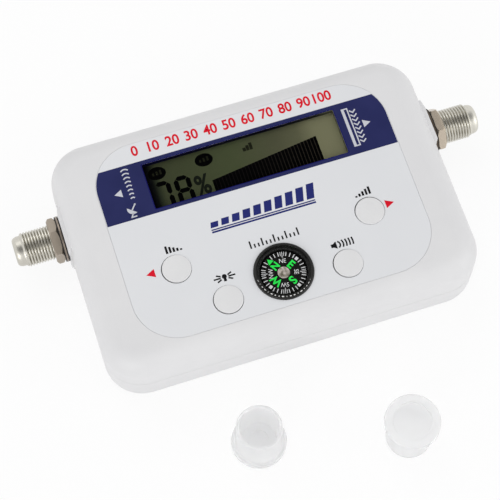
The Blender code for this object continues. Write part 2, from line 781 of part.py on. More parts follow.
def make_face_label():
    """Printed overlay with cut-outs for the window, buttons and compass."""
    underside = CASE_HEIGHT - LABEL_THICKNESS
    label = add_object("face_label", prism(label_outline(0.0), underside, CASE_HEIGHT), label_print())
    compass_hole = circle(WELL_RADIUS, ROUND_STEPS, centre=(COMPASS_X, COMPASS_Y))
    outlines = button_hole_outlines() + [window_outline(), compass_hole]
    openings = prisms(outlines, underside - OVERRUN, CASE_HEIGHT + OVERRUN)
    cut(label, add_guide("label_opening_guide", openings))


def make_display():
    """Clear pane, liquid crystal cell with its raised polariser, frame, light guide and contact strip."""
    pane_foot = PANE_BED + SEAT_GAP
    pane = prism(pane_outline(0.0), pane_foot, pane_foot + PANE_THICKNESS)
    add_object("display_window", pane, clear_plastic())

    centre = (0.0, WINDOW_CENTRE_Y)
    cell = rounded_rectangle(CELL_LENGTH, CELL_DEPTH, CELL_CORNER_RADIUS, centre=centre)
    glass = add_object("lcd_glass", prism(cell, CELL_UNDERSIDE, CELL_TOP), display_glass())
    polariser_length = WINDOW_LENGTH - 2 * POLARISER_CLEARANCE
    polariser_depth = WINDOW_DEPTH - 2 * POLARISER_CLEARANCE
    polariser = rounded_rectangle(polariser_length, polariser_depth, WINDOW_CORNER_RADIUS, centre=centre)
    fuse(glass, add_guide("polariser_guide", prism(polariser, CELL_TOP - FUSE_OVERLAP, PANE_BED)))

    pocket_length = CELL_LENGTH + 2 * SEAT_GAP
    pocket_depth = CELL_DEPTH + 2 * SEAT_GAP
    outer = rounded_rectangle(
        pocket_length + 2 * FRAME_WALL, pocket_depth + 2 * FRAME_WALL, FRAME_CORNER_RADIUS, centre=centre
    )
    frame = add_object("lcd_frame", prism(outer, STANDING, CELL_TOP), white_plastic())
    pocket = rounded_rectangle(pocket_length, pocket_depth, CELL_CORNER_RADIUS, centre=centre)
    cut(frame, add_guide("cell_pocket_guide", prism(pocket, SHELF_TOP, CELL_TOP + OVERRUN)))
    shaft_length = pocket_length - 2 * FRAME_SHELF
    shaft_depth = pocket_depth - 2 * FRAME_SHELF
    shaft = rounded_rectangle(shaft_length, shaft_depth, CELL_CORNER_RADIUS, centre=centre)
    cut(frame, add_guide("frame_shaft_guide", prism(shaft, STANDING - OVERRUN, SHELF_TOP + OVERRUN)))

    strip_length = shaft_length - 2 * CONTACT_STRIP_END_ROOM
    strip_y = WINDOW_CENTRE_Y + shaft_depth / 2 - SEAT_GAP - CONTACT_STRIP_WIDTH / 2
    strip = rounded_rectangle(strip_length, CONTACT_STRIP_WIDTH, CELL_CORNER_RADIUS, centre=(0.0, strip_y))
    add_object("lcd_contact_strip", prism(strip, STANDING, SHELF_TOP), contact_rubber())

    guide_length = shaft_length - 2 * LIGHT_GUIDE_END_ROOM
    guide_depth = shaft_depth - 2 * SEAT_GAP - CONTACT_STRIP_WIDTH - LIGHT_GUIDE_STRIP_ROOM
    guide_y = WINDOW_CENTRE_Y - shaft_depth / 2 + SEAT_GAP + guide_depth / 2
    guide = rounded_rectangle(guide_length, guide_depth, CELL_CORNER_RADIUS, centre=(0.0, guide_y))
    add_object("backlight_diffuser", prism(guide, STANDING, SHELF_TOP), white_plastic())


def make_button(name, place):
    """One push button: crowned cap, retaining flange and stem, on its own press axis."""
    flange_top = PLATE_UNDERSIDE - SEAT_GAP
    flange_foot = flange_top - BUTTON_FLANGE_THICKNESS
    rim = CASE_HEIGHT + BUTTON_PROUD
    crown_radius = BUTTON_RADIUS - BUTTON_EDGE_RADIUS
    edge = arc((crown_radius, rim - BUTTON_EDGE_RADIUS), BUTTON_EDGE_RADIUS, 0, 90, steps=2)
    profile = [
        (0.0, PLUNGER_TOP + SEAT_GAP),
        (BUTTON_STEM_RADIUS, PLUNGER_TOP + SEAT_GAP),
        (BUTTON_STEM_RADIUS, flange_foot),
        (BUTTON_FLANGE_RADIUS, flange_foot),
        (BUTTON_FLANGE_RADIUS, flange_top),
        (BUTTON_RADIUS, flange_top),
    ]
    profile += edge[:-1]
    profile += cap_arc(crown_radius, rim, rim + BUTTON_CROWN, steps=2)
    button = add_object(name + "_button", turned(profile, ROUND_STEPS), button_plastic())
    button.location = (place[0], place[1], 0.0)


def make_switch(name, place):
    """Switch body on the board, and the plunger that its button pushes."""
    outline = rounded_rectangle(SWITCH_WIDTH, SWITCH_WIDTH, SWITCH_CORNER_RADIUS, centre=place)
    body = add_object(name + "_switch", prism(outline, STANDING, SWITCH_TOP), black_plastic())
    well = circle(PLUNGER_RADIUS + PLUNGER_CLEARANCE, SMALL_ROUND_STEPS, centre=place)
    guide = prism(well, SWITCH_TOP - SWITCH_WELL_DEPTH, SWITCH_TOP + OVERRUN)
    cut(body, add_guide(name + "_switch_well_guide", guide))
    plunger = prism(circle(PLUNGER_RADIUS, SMALL_ROUND_STEPS), PLUNGER_FOOT, PLUNGER_TOP)
    piece = add_object(name + "_plunger", plunger, black_plastic())
    piece.location = (place[0], place[1], 0.0)


def make_compass():
    """Compass capsule: cup, dome, floating card with its magnet, and the pivot."""
    rim_inner = CUP_RADIUS - CUP_RIM_WIDTH
    cup_profile = [
        (0.0, CUP_BOTTOM),
        (CUP_RADIUS, CUP_BOTTOM),
    ]
    edge_centre = (CUP_RADIUS - CUP_RIM_RADIUS, CUP_TOP - CUP_RIM_RADIUS)
    cup_profile += arc(edge_centre, CUP_RIM_RADIUS, 0, 90, steps=2)
    cup_profile += [
        (rim_inner, CUP_TOP),
        (rim_inner, CUP_STEP),
        (CUP_INNER_RADIUS, CUP_STEP),
        (CUP_INNER_RADIUS, CUP_BOTTOM + CUP_FLOOR),
        (0.0, CUP_BOTTOM + CUP_FLOOR),
    ]
    cup = add_object("compass_cup", turned(cup_profile, ROUND_STEPS), black_plastic())

    dome_radius = rim_inner - SEAT_GAP
    dome_foot = CUP_STEP + SEAT_GAP
    dome_profile = cap_arc(dome_radius, CUP_TOP, CUP_TOP + DOME_RISE)[::-1]
    dome_profile += [(dome_radius, dome_foot)]
    dome_profile += cap_arc(dome_radius - DOME_WALL, dome_foot, CUP_TOP + DOME_RISE - DOME_WALL)
    dome = add_object("compass_dome", turned(dome_profile, ROUND_STEPS), clear_plastic())

    card_profile = [
        (0.0, JEWEL_TOP),
        (JEWEL_TIP_RADIUS, JEWEL_TOP),
        (JEWEL_RADIUS, HUB_FOOT),
        (HUB_RADIUS, HUB_FOOT),
        (HUB_RADIUS, CARD_UNDERSIDE),
        (CARD_RADIUS, CARD_UNDERSIDE),
        (CARD_RADIUS, CARD_TOP),
        (HUB_RADIUS, CARD_TOP),
        (HUB_RADIUS, CARD_TOP + HUB_RISE),
        (0.0, CARD_TOP + HUB_RISE),
    ]
    card = add_object("compass_card", turned(card_profile, ROUND_STEPS), black_plastic())

    magnet_top = CARD_UNDERSIDE - SEAT_GAP
    magnet_profile = [
        (HUB_RADIUS + SEAT_GAP, magnet_top - MAGNET_THICKNESS),
        (MAGNET_RADIUS, magnet_top - MAGNET_THICKNESS),
        (MAGNET_RADIUS, magnet_top),
        (HUB_RADIUS + SEAT_GAP, magnet_top),
    ]
    magnet = add_object("compass_magnet", turned(magnet_profile, SMALL_ROUND_STEPS), magnet_grey())

    foot = CUP_BOTTOM + CUP_FLOOR + SEAT_GAP
    tip = JEWEL_TOP - SEAT_GAP
    pivot_profile = [
        (0.0, foot),
        (PIVOT_FOOT_RADIUS, foot),
        (PIVOT_FOOT_RADIUS, foot + PIVOT_FOOT_HEIGHT),
        (PIVOT_RADIUS, foot + PIVOT_FOOT_HEIGHT),
        (PIVOT_RADIUS, tip - PIVOT_TIP_LENGTH),
        (PIVOT_TIP_RADIUS, tip),
        (0.0, tip),
    ]
    pivot = add_object("compass_pivot", turned(pivot_profile, TINY_ROUND_STEPS), brass())
    for piece in (cup, dome, card, magnet, pivot):
        piece.location = (COMPASS_X, COMPASS_Y, 0.0)


def make_port(side_name, side):
    """One coaxial port: barrel, nut, washer, insulator and centre contact, turned about its axis."""
    barrel_profile = [
        (PORT_TAIL_BORE, PORT_INNER_X),
        (PORT_TAIL_RADIUS, PORT_INNER_X),
        (PORT_TAIL_RADIUS, TAIL_X),
        (PORT_FLANGE_RADIUS, TAIL_X),
        (PORT_FLANGE_RADIUS, FLANGE_FACE_X),
        (THREAD_RADIUS, FLANGE_FACE_X),
        (THREAD_RADIUS, THREAD_END_X - THREAD_CHAMFER),
        (THREAD_RADIUS - THREAD_CHAMFER, THREAD_END_X),
        (NOSE_RADIUS, THREAD_END_X),
    ]
    nose_centre = (NOSE_RADIUS - NOSE_ROUNDING, PORT_TIP_X - NOSE_ROUNDING)
    barrel_profile += arc(nose_centre, NOSE_ROUNDING, 0, 90)
    barrel_profile += [
        (PORT_BORE_RADIUS, PORT_TIP_X),
        (PORT_BORE_RADIUS, FLANGE_FACE_X),
        (PORT_TAIL_BORE, FLANGE_FACE_X),
    ]
    barrel = add_object(side_name + "_barrel", turned(barrel_profile, ROUND_STEPS), nickel_plate())

    nut_hole = THREAD_RADIUS + SEAT_GAP
    nut_corner = NUT_FLATS / 2 / math.cos(math.radians(30))
    nut_end = NUT_X + NUT_THICKNESS
    nut = add_object(side_name + "_nut", prism(circle(nut_corner, 6), NUT_X, nut_end), nickel_plate())
    bore = prism(circle(nut_hole, ROUND_STEPS), NUT_X - OVERRUN, nut_end + OVERRUN)
    bore_guide = add_guide(side_name + "_nut_bore_guide", bore)
    cut(nut, bore_guide)
    face_radius = NUT_FLATS / 2
    chamfer_profile = [
        (0.0, NUT_X - OVERRUN),
        (face_radius - OVERRUN, NUT_X - OVERRUN),
        (nut_corner + OVERRUN, NUT_X + NUT_CHAMFER + OVERRUN),
        (nut_corner + OVERRUN, nut_end - NUT_CHAMFER - OVERRUN),
        (face_radius - OVERRUN, nut_end + OVERRUN),
        (0.0, nut_end + OVERRUN),
    ]
    chamfer_guide = add_guide(side_name + "_nut_chamfer_guide", turned(chamfer_profile, ROUND_STEPS))
    apply_boolean(nut, chamfer_guide, "INTERSECT")

    washer_hole = THREAD_RADIUS + WASHER_CLEARANCE
    washer_profile = [
        (washer_hole, WASHER_X),
        (WASHER_RADIUS, WASHER_X),
        (WASHER_RADIUS, WASHER_X + WASHER_THICKNESS),
        (washer_hole, WASHER_X + WASHER_THICKNESS),
    ]
    washer = add_object(side_name + "_washer", turned(washer_profile, ROUND_STEPS), nickel_plate())

    insulator_radius = PORT_BORE_RADIUS - SEAT_GAP
    insulator_foot = FLANGE_FACE_X + SEAT_GAP
    insulator_end = PORT_TIP_X - INSULATOR_RECESS
    insulator_profile = [
        (INSULATOR_HOLE, insulator_foot),
        (insulator_radius, insulator_foot),
        (insulator_radius, insulator_end),
        (INSULATOR_HOLE, insulator_end),
    ]
    insulator_mesh = turned(insulator_profile, SMALL_ROUND_STEPS)
    insulator = add_object(side_name + "_insulator", insulator_mesh, white_plastic())

    contact_end = insulator_end - CONTACT_RECESS
    contact_profile = [
        (0.0, PORT_INNER_X - CONTACT_TAIL_REACH),
        (CONTACT_TAIL_RADIUS, PORT_INNER_X - CONTACT_TAIL_REACH),
        (CONTACT_TAIL_RADIUS, TAIL_X),
        (CONTACT_RADIUS, TAIL_X),
        (CONTACT_RADIUS, contact_end),
        (CONTACT_SOCKET_RADIUS, contact_end),
        (CONTACT_SOCKET_RADIUS, contact_end - CONTACT_SOCKET_DEPTH),
        (0.0, contact_end - CONTACT_SOCKET_DEPTH),
    ]
    contact = add_object(side_name + "_contact", turned(contact_profile, TINY_ROUND_STEPS), brass())

    for piece in (barrel, nut, washer, insulator, contact, bore_guide, chamfer_guide):
        set_on_port_axis(piece, side)
    nut.rotation_euler.rotate_axis("Z", math.radians(NUT_TURNS[side_name]))


def make_board():
    """Circuit board with clearance for the case bosses and holes for its screws."""
    outline = rounded_rectangle(BOARD_LENGTH, BOARD_DEPTH, BOARD_CORNER_RADIUS)
    board = add_object("circuit_board", prism(outline, BOARD_UNDERSIDE, BOARD_TOP), board_laminate())
    notch_radius = LOWER_BOSS_RADIUS + BOARD_BOSS_CLEARANCE
    outlines = [circle(notch_radius, SMALL_ROUND_STEPS, centre=place) for place in BOSS_PLACES]
    outlines += screw_hole_outlines(BOARD_SCREW_RADIUS, POST_PLACES)
    guide = prisms(outlines, BOARD_UNDERSIDE - OVERRUN, BOARD_TOP + OVERRUN)
    cut(board, add_guide("board_opening_guide", guide))


def make_board_parts():
    """Shield can below the board; chip, sounder and capacitor on top of it."""
    centre = (0.0, PORT_Y)
    can_top = BOARD_UNDERSIDE - SEAT_GAP
    can_foot = can_top - SHIELD_HEIGHT
    outline = rounded_rectangle(SHIELD_LENGTH, SHIELD_DEPTH, SHIELD_CORNER_RADIUS, centre=centre)
    can = add_object("rf_shield_can", prism(outline, can_foot, can_top), tinned_steel())
    inner = rounded_rectangle(
        SHIELD_LENGTH, SHIELD_DEPTH, SHIELD_CORNER_RADIUS, centre=centre, inset=SHIELD_WALL
    )
    cut(can, add_guide("shield_cavity_guide", prism(inner, can_foot + SHIELD_WALL, can_top + OVERRUN)))

    chip_centre = (0.0, BOARD_DEPTH * CHIP_Y_SHARE)
    chip = rounded_rectangle(CHIP_LENGTH, CHIP_WIDTH, CHIP_CORNER_RADIUS, centre=chip_centre)
    add_object("controller_chip", prism(chip, STANDING, STANDING + CHIP_HEIGHT), black_plastic())

    sounder_top = PLATE_UNDERSIDE - BUZZER_SOUNDER_HEADROOM
    sounder_profile = [
        (0.0, STANDING),
        (BUZZER_SOUNDER_RADIUS, STANDING),
        (BUZZER_SOUNDER_RADIUS, sounder_top - BUZZER_SOUNDER_EDGE),
        (BUZZER_SOUNDER_RADIUS - BUZZER_SOUNDER_EDGE, sounder_top),
        (BUZZER_SOUNDER_HOLE, sounder_top),
        (BUZZER_SOUNDER_HOLE, sounder_top - BUZZER_SOUNDER_HOLE_DEPTH),
        (0.0, sounder_top - BUZZER_SOUNDER_HOLE_DEPTH),
    ]
    sounder = add_object("buzzer_sounder", turned(sounder_profile, SMALL_ROUND_STEPS), black_plastic())
    sounder.location = (BUZZER_SOUNDER_PLACE[0], BUZZER_SOUNDER_PLACE[1], 0.0)

    capacitor_top = PLATE_UNDERSIDE - CAPACITOR_HEADROOM
    capacitor_profile = [
        (0.0, STANDING),
        (CAPACITOR_RADIUS, STANDING),
        (CAPACITOR_RADIUS, capacitor_top - CAPACITOR_EDGE),
        (CAPACITOR_RADIUS - CAPACITOR_EDGE, capacitor_top),
        (0.0, capacitor_top),
    ]
    capacitor = add_object("filter_capacitor", turned(capacitor_profile, SMALL_ROUND_STEPS), aluminium_can())
    capacitor.location = (CAPACITOR_PLACE[0], CAPACITOR_PLACE[1], 0.0)


def make_screw(name, place, seat, shank_radius, length, head_radius, head_height):
    """Pan-head screw driven upward from a seat height."""
    foot = seat - head_height
    head_edge = head_height * SCREW_HEAD_EDGE_SHARE
    profile = [
        (0.0, foot),
        (head_radius - head_edge, foot),
        (head_radius, foot + head_edge),
        (head_radius, seat),
        (shank_radius, seat),
        (shank_radius, seat + length - shank_radius),
        (shank_radius * SCREW_TIP_RADIUS_SHARE, seat + length),
        (0.0, seat + length),
    ]
    screw = add_object(name, turned(profile, TINY_ROUND_STEPS), zinc_steel())
    screw.location = (place[0], place[1], 0.0)
    return screw


def cut_cross_drive(screw, foot, head_radius, head_height):
    """Cross recess in the head of a screw whose head starts at a foot height."""
    half_width = head_radius * DRIVE_SLOT_WIDTH_SHARE / 2
    half_length = head_radius * DRIVE_SLOT_LENGTH_SHARE / 2
    arm = [(half_width, -half_width), (half_length, -half_width), (half_length, half_width)]
    cross = []
    for quarter in range(4):
        angle = math.radians(90) * quarter
        for along, across in arm:
            x = along * math.cos(angle) - across * math.sin(angle)
            y = along * math.sin(angle) + across * math.cos(angle)
            cross.append((x, y))
    slot = prism(cross, foot - OVERRUN, foot + head_height * DRIVE_SLOT_DEPTH_SHARE)
    slot_guide = add_guide(screw.name + "_drive_guide", slot)
    slot_guide.location = screw.location
    cut(screw, slot_guide)


def make_screws():
    case_seat = CASE_SCREW_POCKET - SEAT_GAP
    for number, place in enumerate(BOSS_PLACES, start=1):
        screw = make_screw(
            "case_screw_" + str(number),
            place,
            case_seat,
            CASE_SCREW_RADIUS,
            CASE_SCREW_LENGTH,
            CASE_SCREW_HEAD_RADIUS,
            CASE_SCREW_HEAD_HEIGHT,
        )
        head_foot = case_seat - CASE_SCREW_HEAD_HEIGHT
        cut_cross_drive(screw, head_foot, CASE_SCREW_HEAD_RADIUS, CASE_SCREW_HEAD_HEIGHT)
    for number, place in enumerate(POST_PLACES, start=1):
        make_screw(
            "board_screw_" + str(number),
            place,
            BOARD_UNDERSIDE - SEAT_GAP,
            BOARD_SCREW_RADIUS,
            BOARD_SCREW_LENGTH,
            BOARD_SCREW_HEAD_RADIUS,
            BOARD_SCREW_HEAD_HEIGHT,
        )


def cap_profile():
    """Dust cap with its flange at the foot and its mouth at the top, as a turned profile."""
    bore_root = THREAD_RADIUS + CAP_BORE_GRIP
    bore_mouth = bore_root + CAP_BORE_MOUTH_EASE
    ring_outer = CAP_INNER_RING_RADIUS + CAP_INNER_RING_WIDTH
    edge_centre = CAP_FLANGE_RADIUS - CAP_EDGE_RADIUS
    mouth_centre = CAP_MOUTH_RADIUS - CAP_EDGE_RADIUS
    profile = [
        (0.0, CAP_DISH_DEPTH),
        (CAP_DISH_RADIUS, CAP_DISH_DEPTH),
        (CAP_DISH_RADIUS, 0.0),
    ]
    profile += arc((edge_centre, CAP_EDGE_RADIUS), CAP_EDGE_RADIUS, -90, 0, steps=1)
    profile += arc((edge_centre, CAP_FLANGE_THICKNESS - CAP_EDGE_RADIUS), CAP_EDGE_RADIUS, 0, 90, steps=1)
    profile += [(CAP_ROOT_RADIUS, CAP_FLANGE_THICKNESS)]
    profile += arc((mouth_centre, CAP_HEIGHT - CAP_EDGE_RADIUS), CAP_EDGE_RADIUS, 0, 90, steps=1)
    profile += [
        (bore_mouth, CAP_HEIGHT),
        (bore_root, CAP_END_WALL),
        (ring_outer, CAP_END_WALL),
        (ring_outer, CAP_END_WALL + CAP_INNER_RING_HEIGHT),
        (CAP_INNER_RING_RADIUS, CAP_END_WALL + CAP_INNER_RING_HEIGHT),
        (CAP_INNER_RING_RADIUS, CAP_END_WALL),
        (0.0, CAP_END_WALL),
    ]
    return profile


def make_dust_caps():
    left = add_object("left_dust_cap", turned(cap_profile(), ROUND_STEPS), cap_polythene())
    left.location = (LEFT_CAP_PLACE[0], LEFT_CAP_PLACE[1], 0.0)
    upturned = [(radius, CAP_HEIGHT - height) for radius, height in cap_profile()]
    right = add_object("right_dust_cap", turned(upturned, ROUND_STEPS), cap_polythene())
    right.location = (RIGHT_CAP_PLACE[0], RIGHT_CAP_PLACE[1], 0.0)


def main():
    clear_scene()
    make_upper_shell()
    make_lower_shell()
    make_face_label()
    make_display()
    for name, place in BUTTON_PLACES.items():
        make_button(name, place)
        make_switch(name, place)
    make_compass()
    for side_name, side in PORT_SIDES.items():
        make_port(side_name, side)
    make_board()
    make_board_parts()
    make_screws()
    make_dust_caps()


main()
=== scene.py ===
"""Looks of the satellite signal meter: finer surfaces, print, materials, light and camera.

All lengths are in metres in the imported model's frame: the origin is the centre of the case's base,
+X runs towards the right-hand port, +Y towards the display side and +Z up.
"""
import math

import bmesh
import bpy
from mathutils import Matrix, Vector


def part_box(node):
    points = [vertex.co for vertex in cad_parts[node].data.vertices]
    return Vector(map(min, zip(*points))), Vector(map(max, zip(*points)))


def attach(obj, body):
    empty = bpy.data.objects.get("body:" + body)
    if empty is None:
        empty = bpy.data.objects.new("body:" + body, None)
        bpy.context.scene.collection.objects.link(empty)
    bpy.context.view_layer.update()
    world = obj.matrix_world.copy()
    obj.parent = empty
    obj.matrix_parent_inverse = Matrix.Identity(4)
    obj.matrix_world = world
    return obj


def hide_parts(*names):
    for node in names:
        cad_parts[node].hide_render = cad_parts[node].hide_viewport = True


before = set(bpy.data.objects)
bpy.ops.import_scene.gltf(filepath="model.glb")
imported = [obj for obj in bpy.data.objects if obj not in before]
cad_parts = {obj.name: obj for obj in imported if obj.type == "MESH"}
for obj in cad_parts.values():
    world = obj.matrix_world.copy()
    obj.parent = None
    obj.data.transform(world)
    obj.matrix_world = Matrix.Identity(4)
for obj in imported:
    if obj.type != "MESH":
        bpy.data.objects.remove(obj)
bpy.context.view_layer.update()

# Camera: the point on the face that it looks at, its distance, directions and lens
CAMERA_TARGET = (-0.0070, -0.0107, 0.0210)
CAMERA_DISTANCE = 0.4531
CAMERA_HEADING_DEGREES = -18.28
CAMERA_ELEVATION_DEGREES = 67.63
CAMERA_ROLL_DEGREES = 0.34
CAMERA_LENS_MM = 123.3
CAMERA_SENSOR_MM = 36.0
CAMERA_CLIP_START = 0.01

# Case
CASE_LENGTH = 0.1044
CASE_CORNER_RADIUS = 0.0105
TOP_FILLET = 0.0060
BASE_FILLET = 0.0025
SIDE_WALL = 0.0022
TOP_WALL = 0.0026
BASE_WALL = 0.0020
SEAM_GAP = 0.00012
TONGUE_WIDTH = 0.0008
TONGUE_HEIGHT = 0.0013
DRAFT_DEGREES = 1.0
CAVITY_FILLET = 0.0038
LAND_LENGTH = 0.0132
LAND_RISE = 0.00055
LAND_FOOT = 0.0028
LAND_TOP = 0.0172
LAND_END_SLOPE = 0.0007
LAND_BACK_SLOPE = 0.0026
LAND_ROOT = 0.0012
BOSS_RADIUS = 0.0030
LOWER_BOSS_RADIUS = 0.0039
POST_RADIUS = 0.0022
SCREW_CLEARANCE = 0.0003
POCKET_DEPTH = 0.0040
WELL_WALL = 0.0013

# Printed overlay, its gap in the bed and its openings
LABEL_CORNER_RADIUS = 0.0122
LABEL_GAP = 0.0001
LABEL_CRACK = 0.00006
WINDOW_RADIUS = 0.0004
PANE_MARGIN = 0.0018
BUTTON_GAP = 0.0003
BUTTON_CRACK = 0.00015
BUTTON_CRACK_SHIFTS = {
    "attenuator_left": (-0.00011, -0.00009),
    "attenuator_right": (-0.00005, 0.00008),
    "light": (-0.00008, -0.00012),
    "buzzer": (-0.00013, -0.00005),
}
INK = 0.00002

# Buttons
BUTTON_RADIUS = 0.00394
BUTTON_EDGE = 0.0003
BUTTON_CROWN = 0.0003
BUTTON_FLANGE = 0.0010
BUTTON_STEM_RADIUS = 0.0022

# Compass
CUP_RIM_WIDTH = 0.0008
CUP_RIM_ROUND = 0.00055
CUP_LIP_ROUND = 0.00012
CUP_STEP_DEPTH = 0.0011
CUP_WALL = 0.0016
CUP_FLOOR = 0.0010
DOME_WALL = 0.0007
CARD_THICKNESS = 0.0005
HUB_RADIUS = 0.00165
HUB_RISE = 0.00035
JEWEL_RADIUS = 0.0009
JEWEL_TIP_RADIUS = 0.0002
JEWEL_ROOF = 0.0004
# Pit in the hub, in shares of its radius and of its rise
HUB_PIT = ((0.45, 1.0), (0.38, 0.6), (0.0, 0.5))
COMPASS_NORTH_DEGREES = -32.0
LETTERS = (("N", 0.00290, 0.0021), ("E", 0.0031, 0.0024), ("S", 0.0032, 0.0025), ("W", 0.0031, 0.0023))
LETTER_WIDTH_SHARE = 0.95
LETTER_BOLDNESS = 0.03
NORTH_ARROW = (0.0019, 0.0015)
NORTH_ARROW_PLACE = 0.0050
SMALL_LETTER_PLACE = 0.0034
SMALL_LETTER_HEIGHT = 0.00118
SMALL_LETTER_WIDTH_SHARE = 0.9
TICK_INNER = 0.0048
LONG_TICK_INNER = 0.0043
TICK_OUTER = 0.00595
TICK_HALF = 0.00011
FINE_TICK_HALF = 0.00008
FINE_TICK_DEGREES = 5.0
TICK_COUNT = 32
BLOCK_HALVES = (0.0004, 0.00045)
BLOCK_PLACE = 0.0053
# Painted glints on the front of the rim: radius, width, length and spread of the dashes
GLINT_RADIUS = 0.00738
GLINT_WIDTH = 0.00030
GLINT_DEGREES = 4.6
GLINT_COUNT = 18
GLINT_MIDDLE_DEGREES = 254.0
GLINT_SPREAD_DEGREES = 136.0
GLINT_LENGTH_SHARES = (0.6, 0.4)
GLINT_LENGTH_STEP = 2.4
GLINT_WIDTH_SHARES = (0.35, 0.65)

# Ports
THREAD_RADIUS = 0.0047625
THREAD_PITCH = 0.0254 / 32
THREAD_DEPTH = 0.00048
THREAD_CREST_SHARE = 1.55
# Share of the thread's depth, from the crest, that the painted shade in the grooves leaves out
GROOVE_UNSHADED_SHARE = 0.35
THREAD_FADE = 0.0006
THREAD_CHAMFER = 0.0004
THREAD_STEPS_PER_TURN = 10
NOSE_RADIUS = 0.00415
NOSE_LENGTH = 0.0024
NOSE_ROUNDING = 0.0011
NOSE_TAPER = 0.0017
PORT_BORE_RADIUS = 0.0029
PORT_FLANGE = 0.0017
PORT_FLANGE_RADIUS = 0.0059
PORT_TAIL_RADIUS = 0.0030
PORT_TAIL_BORE = 0.0013
BORE_EDGE = 0.00015
NUT_FLATS = 0.0110
NUT_CHAMFER = 0.0005
NUT_HOLE_GAP = 0.0001
NUT_TURNS = {"left": 0.0, "right": 30.0}
WASHER_EDGE = 0.0001
# Outer radius of the dark rings of painted shadow beside each washer
SHADOW_RING_RADIUS = 0.0063
INSULATOR_HOLE = 0.0011

# Dust caps
CAP_HEIGHT = 0.0135
CAP_FLANGE_RADIUS = 0.0074
CAP_FLANGE = 0.0014
CAP_ROOT_RADIUS = 0.0063
CAP_MOUTH_RADIUS = 0.0061
CAP_GRIP = 0.0001
CAP_MOUTH_EASE = 0.0004
CAP_END_WALL = 0.0016
CAP_DISH_RADIUS = 0.0052
CAP_DISH_DEPTH = 0.0006
CAP_EDGE = 0.0003
CAP_RING = (0.0026, 0.0030, 0.0005)

# Case screws
CASE_SCREW_RADIUS = 0.0013
CASE_SCREW_HEAD = 0.0018
SCREW_ROUND_SHARE = 0.5
SCREW_CROSS_SHARES = (0.13, 0.60)
SCREW_CROSS_DEPTH_SHARE = 0.55

# Print on the overlay
BAND_LOW_Y = 0.00712
BAND_HIGH_Y = 0.02314
WINDOW_LINE = 0.00022
SCALE_START_X = -0.0279
SCALE_PITCH = 0.00537
SCALE_Y = 0.02655
SCALE_HEIGHT = 0.0031
SCALE_WIDTH_SHARE = 0.92
SCALE_BOLDNESS = 0.022
SCALE_COUNT = 11
ATTENUATOR_ARROWS = ((-0.0340, -0.00925), (0.0328, -0.00925))
ATTENUATOR_ARROW_WIDTH = 0.0024
ATTENUATOR_ARROW_HEIGHT = 0.00235
ARROW_WIDTH = 0.0023
ARROW_HEIGHT = 0.0021
LEVEL_COUNT = 10
LEVEL_START_X = -0.0150
LEVEL_END_X = 0.0141
LEVEL_WIDTH = 0.0021
LEVEL_BASE_Y = -0.0016
LEVEL_LOW = 0.0016
LEVEL_HIGH = 0.0044
LEVEL_SLANT = 0.25
UNDERLINES = ((-0.00240, -0.00206), (-0.00314, -0.00264))
STAIR_PLACES = ((-0.0260, -0.00395), (0.0270, -0.00395))
STAIR_WIDTH = 0.0048
STAIR_BARS = 5
STAIR_BAR_SHARE = 0.62
MARK_HEIGHT = 0.0022
MARK_STROKE = 0.00042
LAMP_PLACE = (-0.01575, -0.0160)
SPEAKER_PLACE = (0.0166, -0.0164)
BEARING_PLACE = (0.0001, -0.0094)
BEARING_WIDTH = 0.0132
BEARING_TICKS = 13
BAND_ARROWS = ((-0.03566, 0.01545), (0.03492, 0.01530))
WAVE_COLUMN = (-0.0322, 0.0127, 0.0224)
CHEVRON_COLUMN = (0.0323, 0.0098, 0.0204)
CHEVRON_WIDTH = 0.0017
BAND_MARK_WIDTH = 0.0021
BAND_STROKE = 0.00036
MARK_COUNT = 8
WAVE_SHARES = (0.55, 0.45)
WAVE_BEND = 1.25
WAVE_DEGREES = (40, 140)
CHEVRON_SHAPE = ((-1.0, 0.5), (0.0, -0.4), (1.0, 0.5))
DISH_PLACE = (-0.0331, 0.0103)
DISH_RADIUS = 0.0016
BOX_BAR = 0.00080
BOX_MARK = (0.02935, 0.03122, 0.00935, 0.02115)

# Shapes of small marks, in shares of the mark's height, of half of it and of the dish's radius
LAMP_BULB_RADIUS = 0.30
LAMP_BULB_RISE = 0.10
LAMP_FOOT_HALF = 0.17
LAMP_FOOT_DROP = 0.36
LAMP_RAY_START = 0.48
LAMP_RAYS = ((0, 1.35), (25, 1.05), (-25, 1.05), (155, 1.05), (180, 1.35), (205, 1.05))
SPEAKER_SHAPE = ((-2.6, -0.45), (-2.0, -0.45), (-1.2, -1.0), (-1.2, 1.0), (-2.0, 0.45), (-2.6, 0.45))
SPEAKER_MOUTH = 1.2
SPEAKER_WAVES = (0.9, 1.7, 2.5, 3.3, 4.1)
SPEAKER_WAVE_RISE = 0.95
SPEAKER_WAVE_LIMIT = 0.9
DISH_TILT_DEGREES = -38
DISH_BOWL_DEGREES = (200, 340)
DISH_ARM = ((0.0, -0.3), (0.0, 0.75))
DISH_TIP_RADIUS = 0.16
DISH_TIP_PLACE = (0.0, 0.85)
DISH_STAND = ((-0.2, -0.9), (-0.55, -1.5), (0.35, -1.5))
DISH_STEPS = 16
MITRE_LIMIT = 0.5

